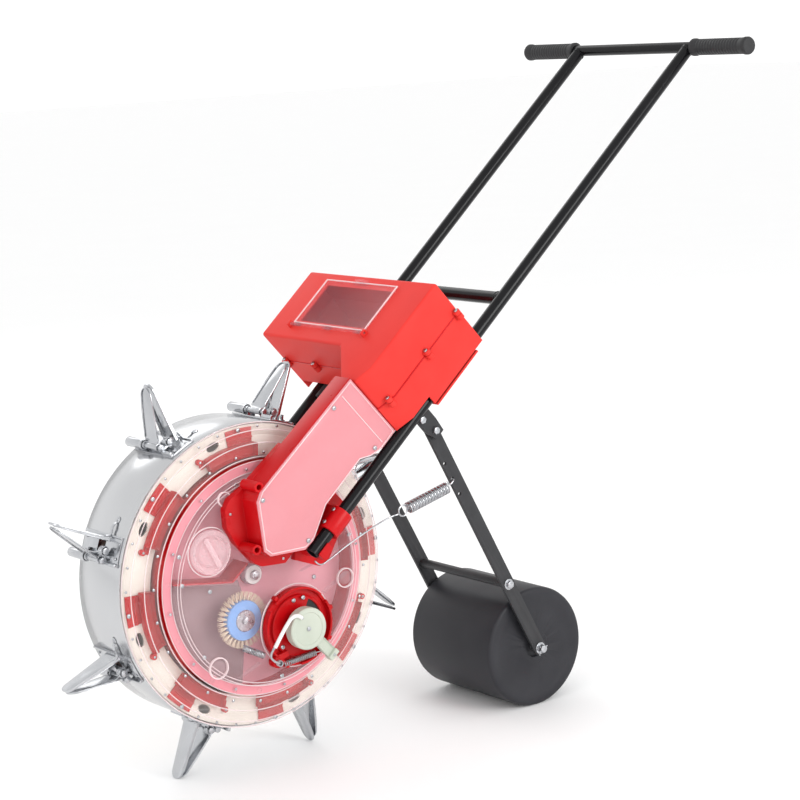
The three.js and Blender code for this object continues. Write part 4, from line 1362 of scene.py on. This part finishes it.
# %% Tension spring
HOOK = (47, -128, 26)
SPRING_WIRE = 1.25
arm_hole = MACHINE.inverted() @ ARM @ mm(87, 0, -6) / MM
spring_start = (303, -118, 90)
spring_end = (228, -118, 71.4)
body_coil = coil("tension_coil", spring_end, spring_start, 8.1, SPRING_WIRE, 26, 14)
eye_top = wire("eye", [(arm_hole.x, -100, arm_hole.z), (arm_hole.x, -110, arm_hole.z),
                       (arm_hole.x - 4, -117, arm_hole.z - 1), (arm_hole.x - 12, -118, arm_hole.z - 6),
                       (303, -118, 98), (301, -118, 88)], SPRING_WIRE)
loop = [(x, -118, z) for x, z in arc(218, 69, 8, 0, 360, 12)]
eye_low = wire("eye_low", loop + [(228, -118, 76)], SPRING_WIRE)
pull_wire = wire("pull_wire", [(211, -116, 66), (208, -120, 66), (196, -118.6, 64), (150, -122, 52),
                               (100, -125, 34), (70, -127, 22), (56, -128, 19), HOOK], 1.2)
spring = joined("tension_spring_coil", body_coil, eye_top, eye_low, pull_wire)
finish(spring, "root", ZINC, "tension_spring")
spring.parent = None
del spring["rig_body"]
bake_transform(spring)
said("tension spring", spring)

# %% [markdown]
# ## Floor, light and camera
# The seeder stands on a plain pale floor that fades into a pale room. Three large soft lamps
# and the bright room give the long quiet reflections that polished sheet shows.

# %% Floor and lamps
discard(SCREW, RIVET, small_screw, far_screw, upright_screw, hanging_screw)
bpy.context.scene.view_settings.view_transform = "Standard"


def floor(width):
    clear()
    bpy.ops.mesh.primitive_plane_add(size=width)
    ground = bpy.context.active_object
    ground.name = "floor"
    pale = Finish("pale_floor", roughness=0.6)
    pale.set(base_color=pale.blend(pale.noise(3, 2), (0.95, 0.95, 0.95), (0.97, 0.97, 0.97)))
    ground.data.materials.append(pale.material)


def lamp(name, place, target, size, power):
    bpy.ops.object.light_add(type="AREA", location=place)
    light = bpy.context.active_object
    light.name = name
    light.rotation_euler = (Vector(target) - Vector(place)).to_track_quat("-Z", "Y").to_euler()
    light.data.shape = "DISK"
    light.data.size = size
    light.data.energy = power


floor(60)
lamp("key_lamp", (0.9, -3.6, 1.7), (0, 0, 0.5), 2.0, 62)
lamp("fill_lamp", (-3.0, -1.6, 1.8), (0, 0, 0.4), 2.2, 14)
lamp("back_lamp", (0.5, 3.4, 2.8), (0, 0, 0.5), 2.4, 18)

# %% Room light
room = bpy.data.worlds.new("pale_room")
bpy.context.scene.world = room
room.use_nodes = True
sky = room.node_tree
glow = sky.nodes["Background"].inputs
direction = sky.nodes.new("ShaderNodeTexCoord").outputs["Generated"]
height = sky.nodes.new("ShaderNodeSeparateXYZ")
ramp = sky.nodes.new("ShaderNodeValToRGB")
sky.links.new(direction, height.inputs[0])
sky.links.new(height.outputs["Z"], ramp.inputs[0])
low_stop, high_stop = ramp.color_ramp.elements
low_stop.position, low_stop.color = 0.0, (1, 1, 1, 1)
high_stop.position, high_stop.color = 0.9, (0.84, 0.84, 0.84, 1)
sky.links.new(ramp.outputs[0], glow["Color"])
glow["Strength"].default_value = 1.15
print("room light", glow["Strength"].default_value)

# %% [markdown]
# The camera stands to the front left, a little above the drum's axle, and is rolled by a few
# degrees, with a long lens so that the handle doesn't seem to shrink away.


# %% Camera
def camera(place, yaw, pitch, roll, lens):
    eye = bpy.data.objects.new("camera", bpy.data.cameras.new("camera"))
    bpy.context.scene.collection.objects.link(eye)
    a, b, c = (math.radians(v) for v in (yaw, pitch, roll))
    ahead = Vector((math.sin(a) * math.cos(b), math.cos(a) * math.cos(b), math.sin(b)))
    right = Vector((math.cos(a), -math.sin(a), 0))
    above = right.cross(ahead)
    across = right * math.cos(c) + above * math.sin(c)
    upward = above * math.cos(c) - right * math.sin(c)
    turn_to = Matrix((across, upward, -ahead)).transposed().to_4x4()
    eye.matrix_world = Matrix.Translation(MACHINE @ mm(*place)) @ turn_to
    eye.data.lens = lens
    eye.data.clip_start, eye.data.clip_end = 0.1, 60
    bpy.context.scene.camera = eye


camera((-1753, -2722, 780), yaw=37.19, pitch=-9.47, roll=-2.91, lens=101.4)
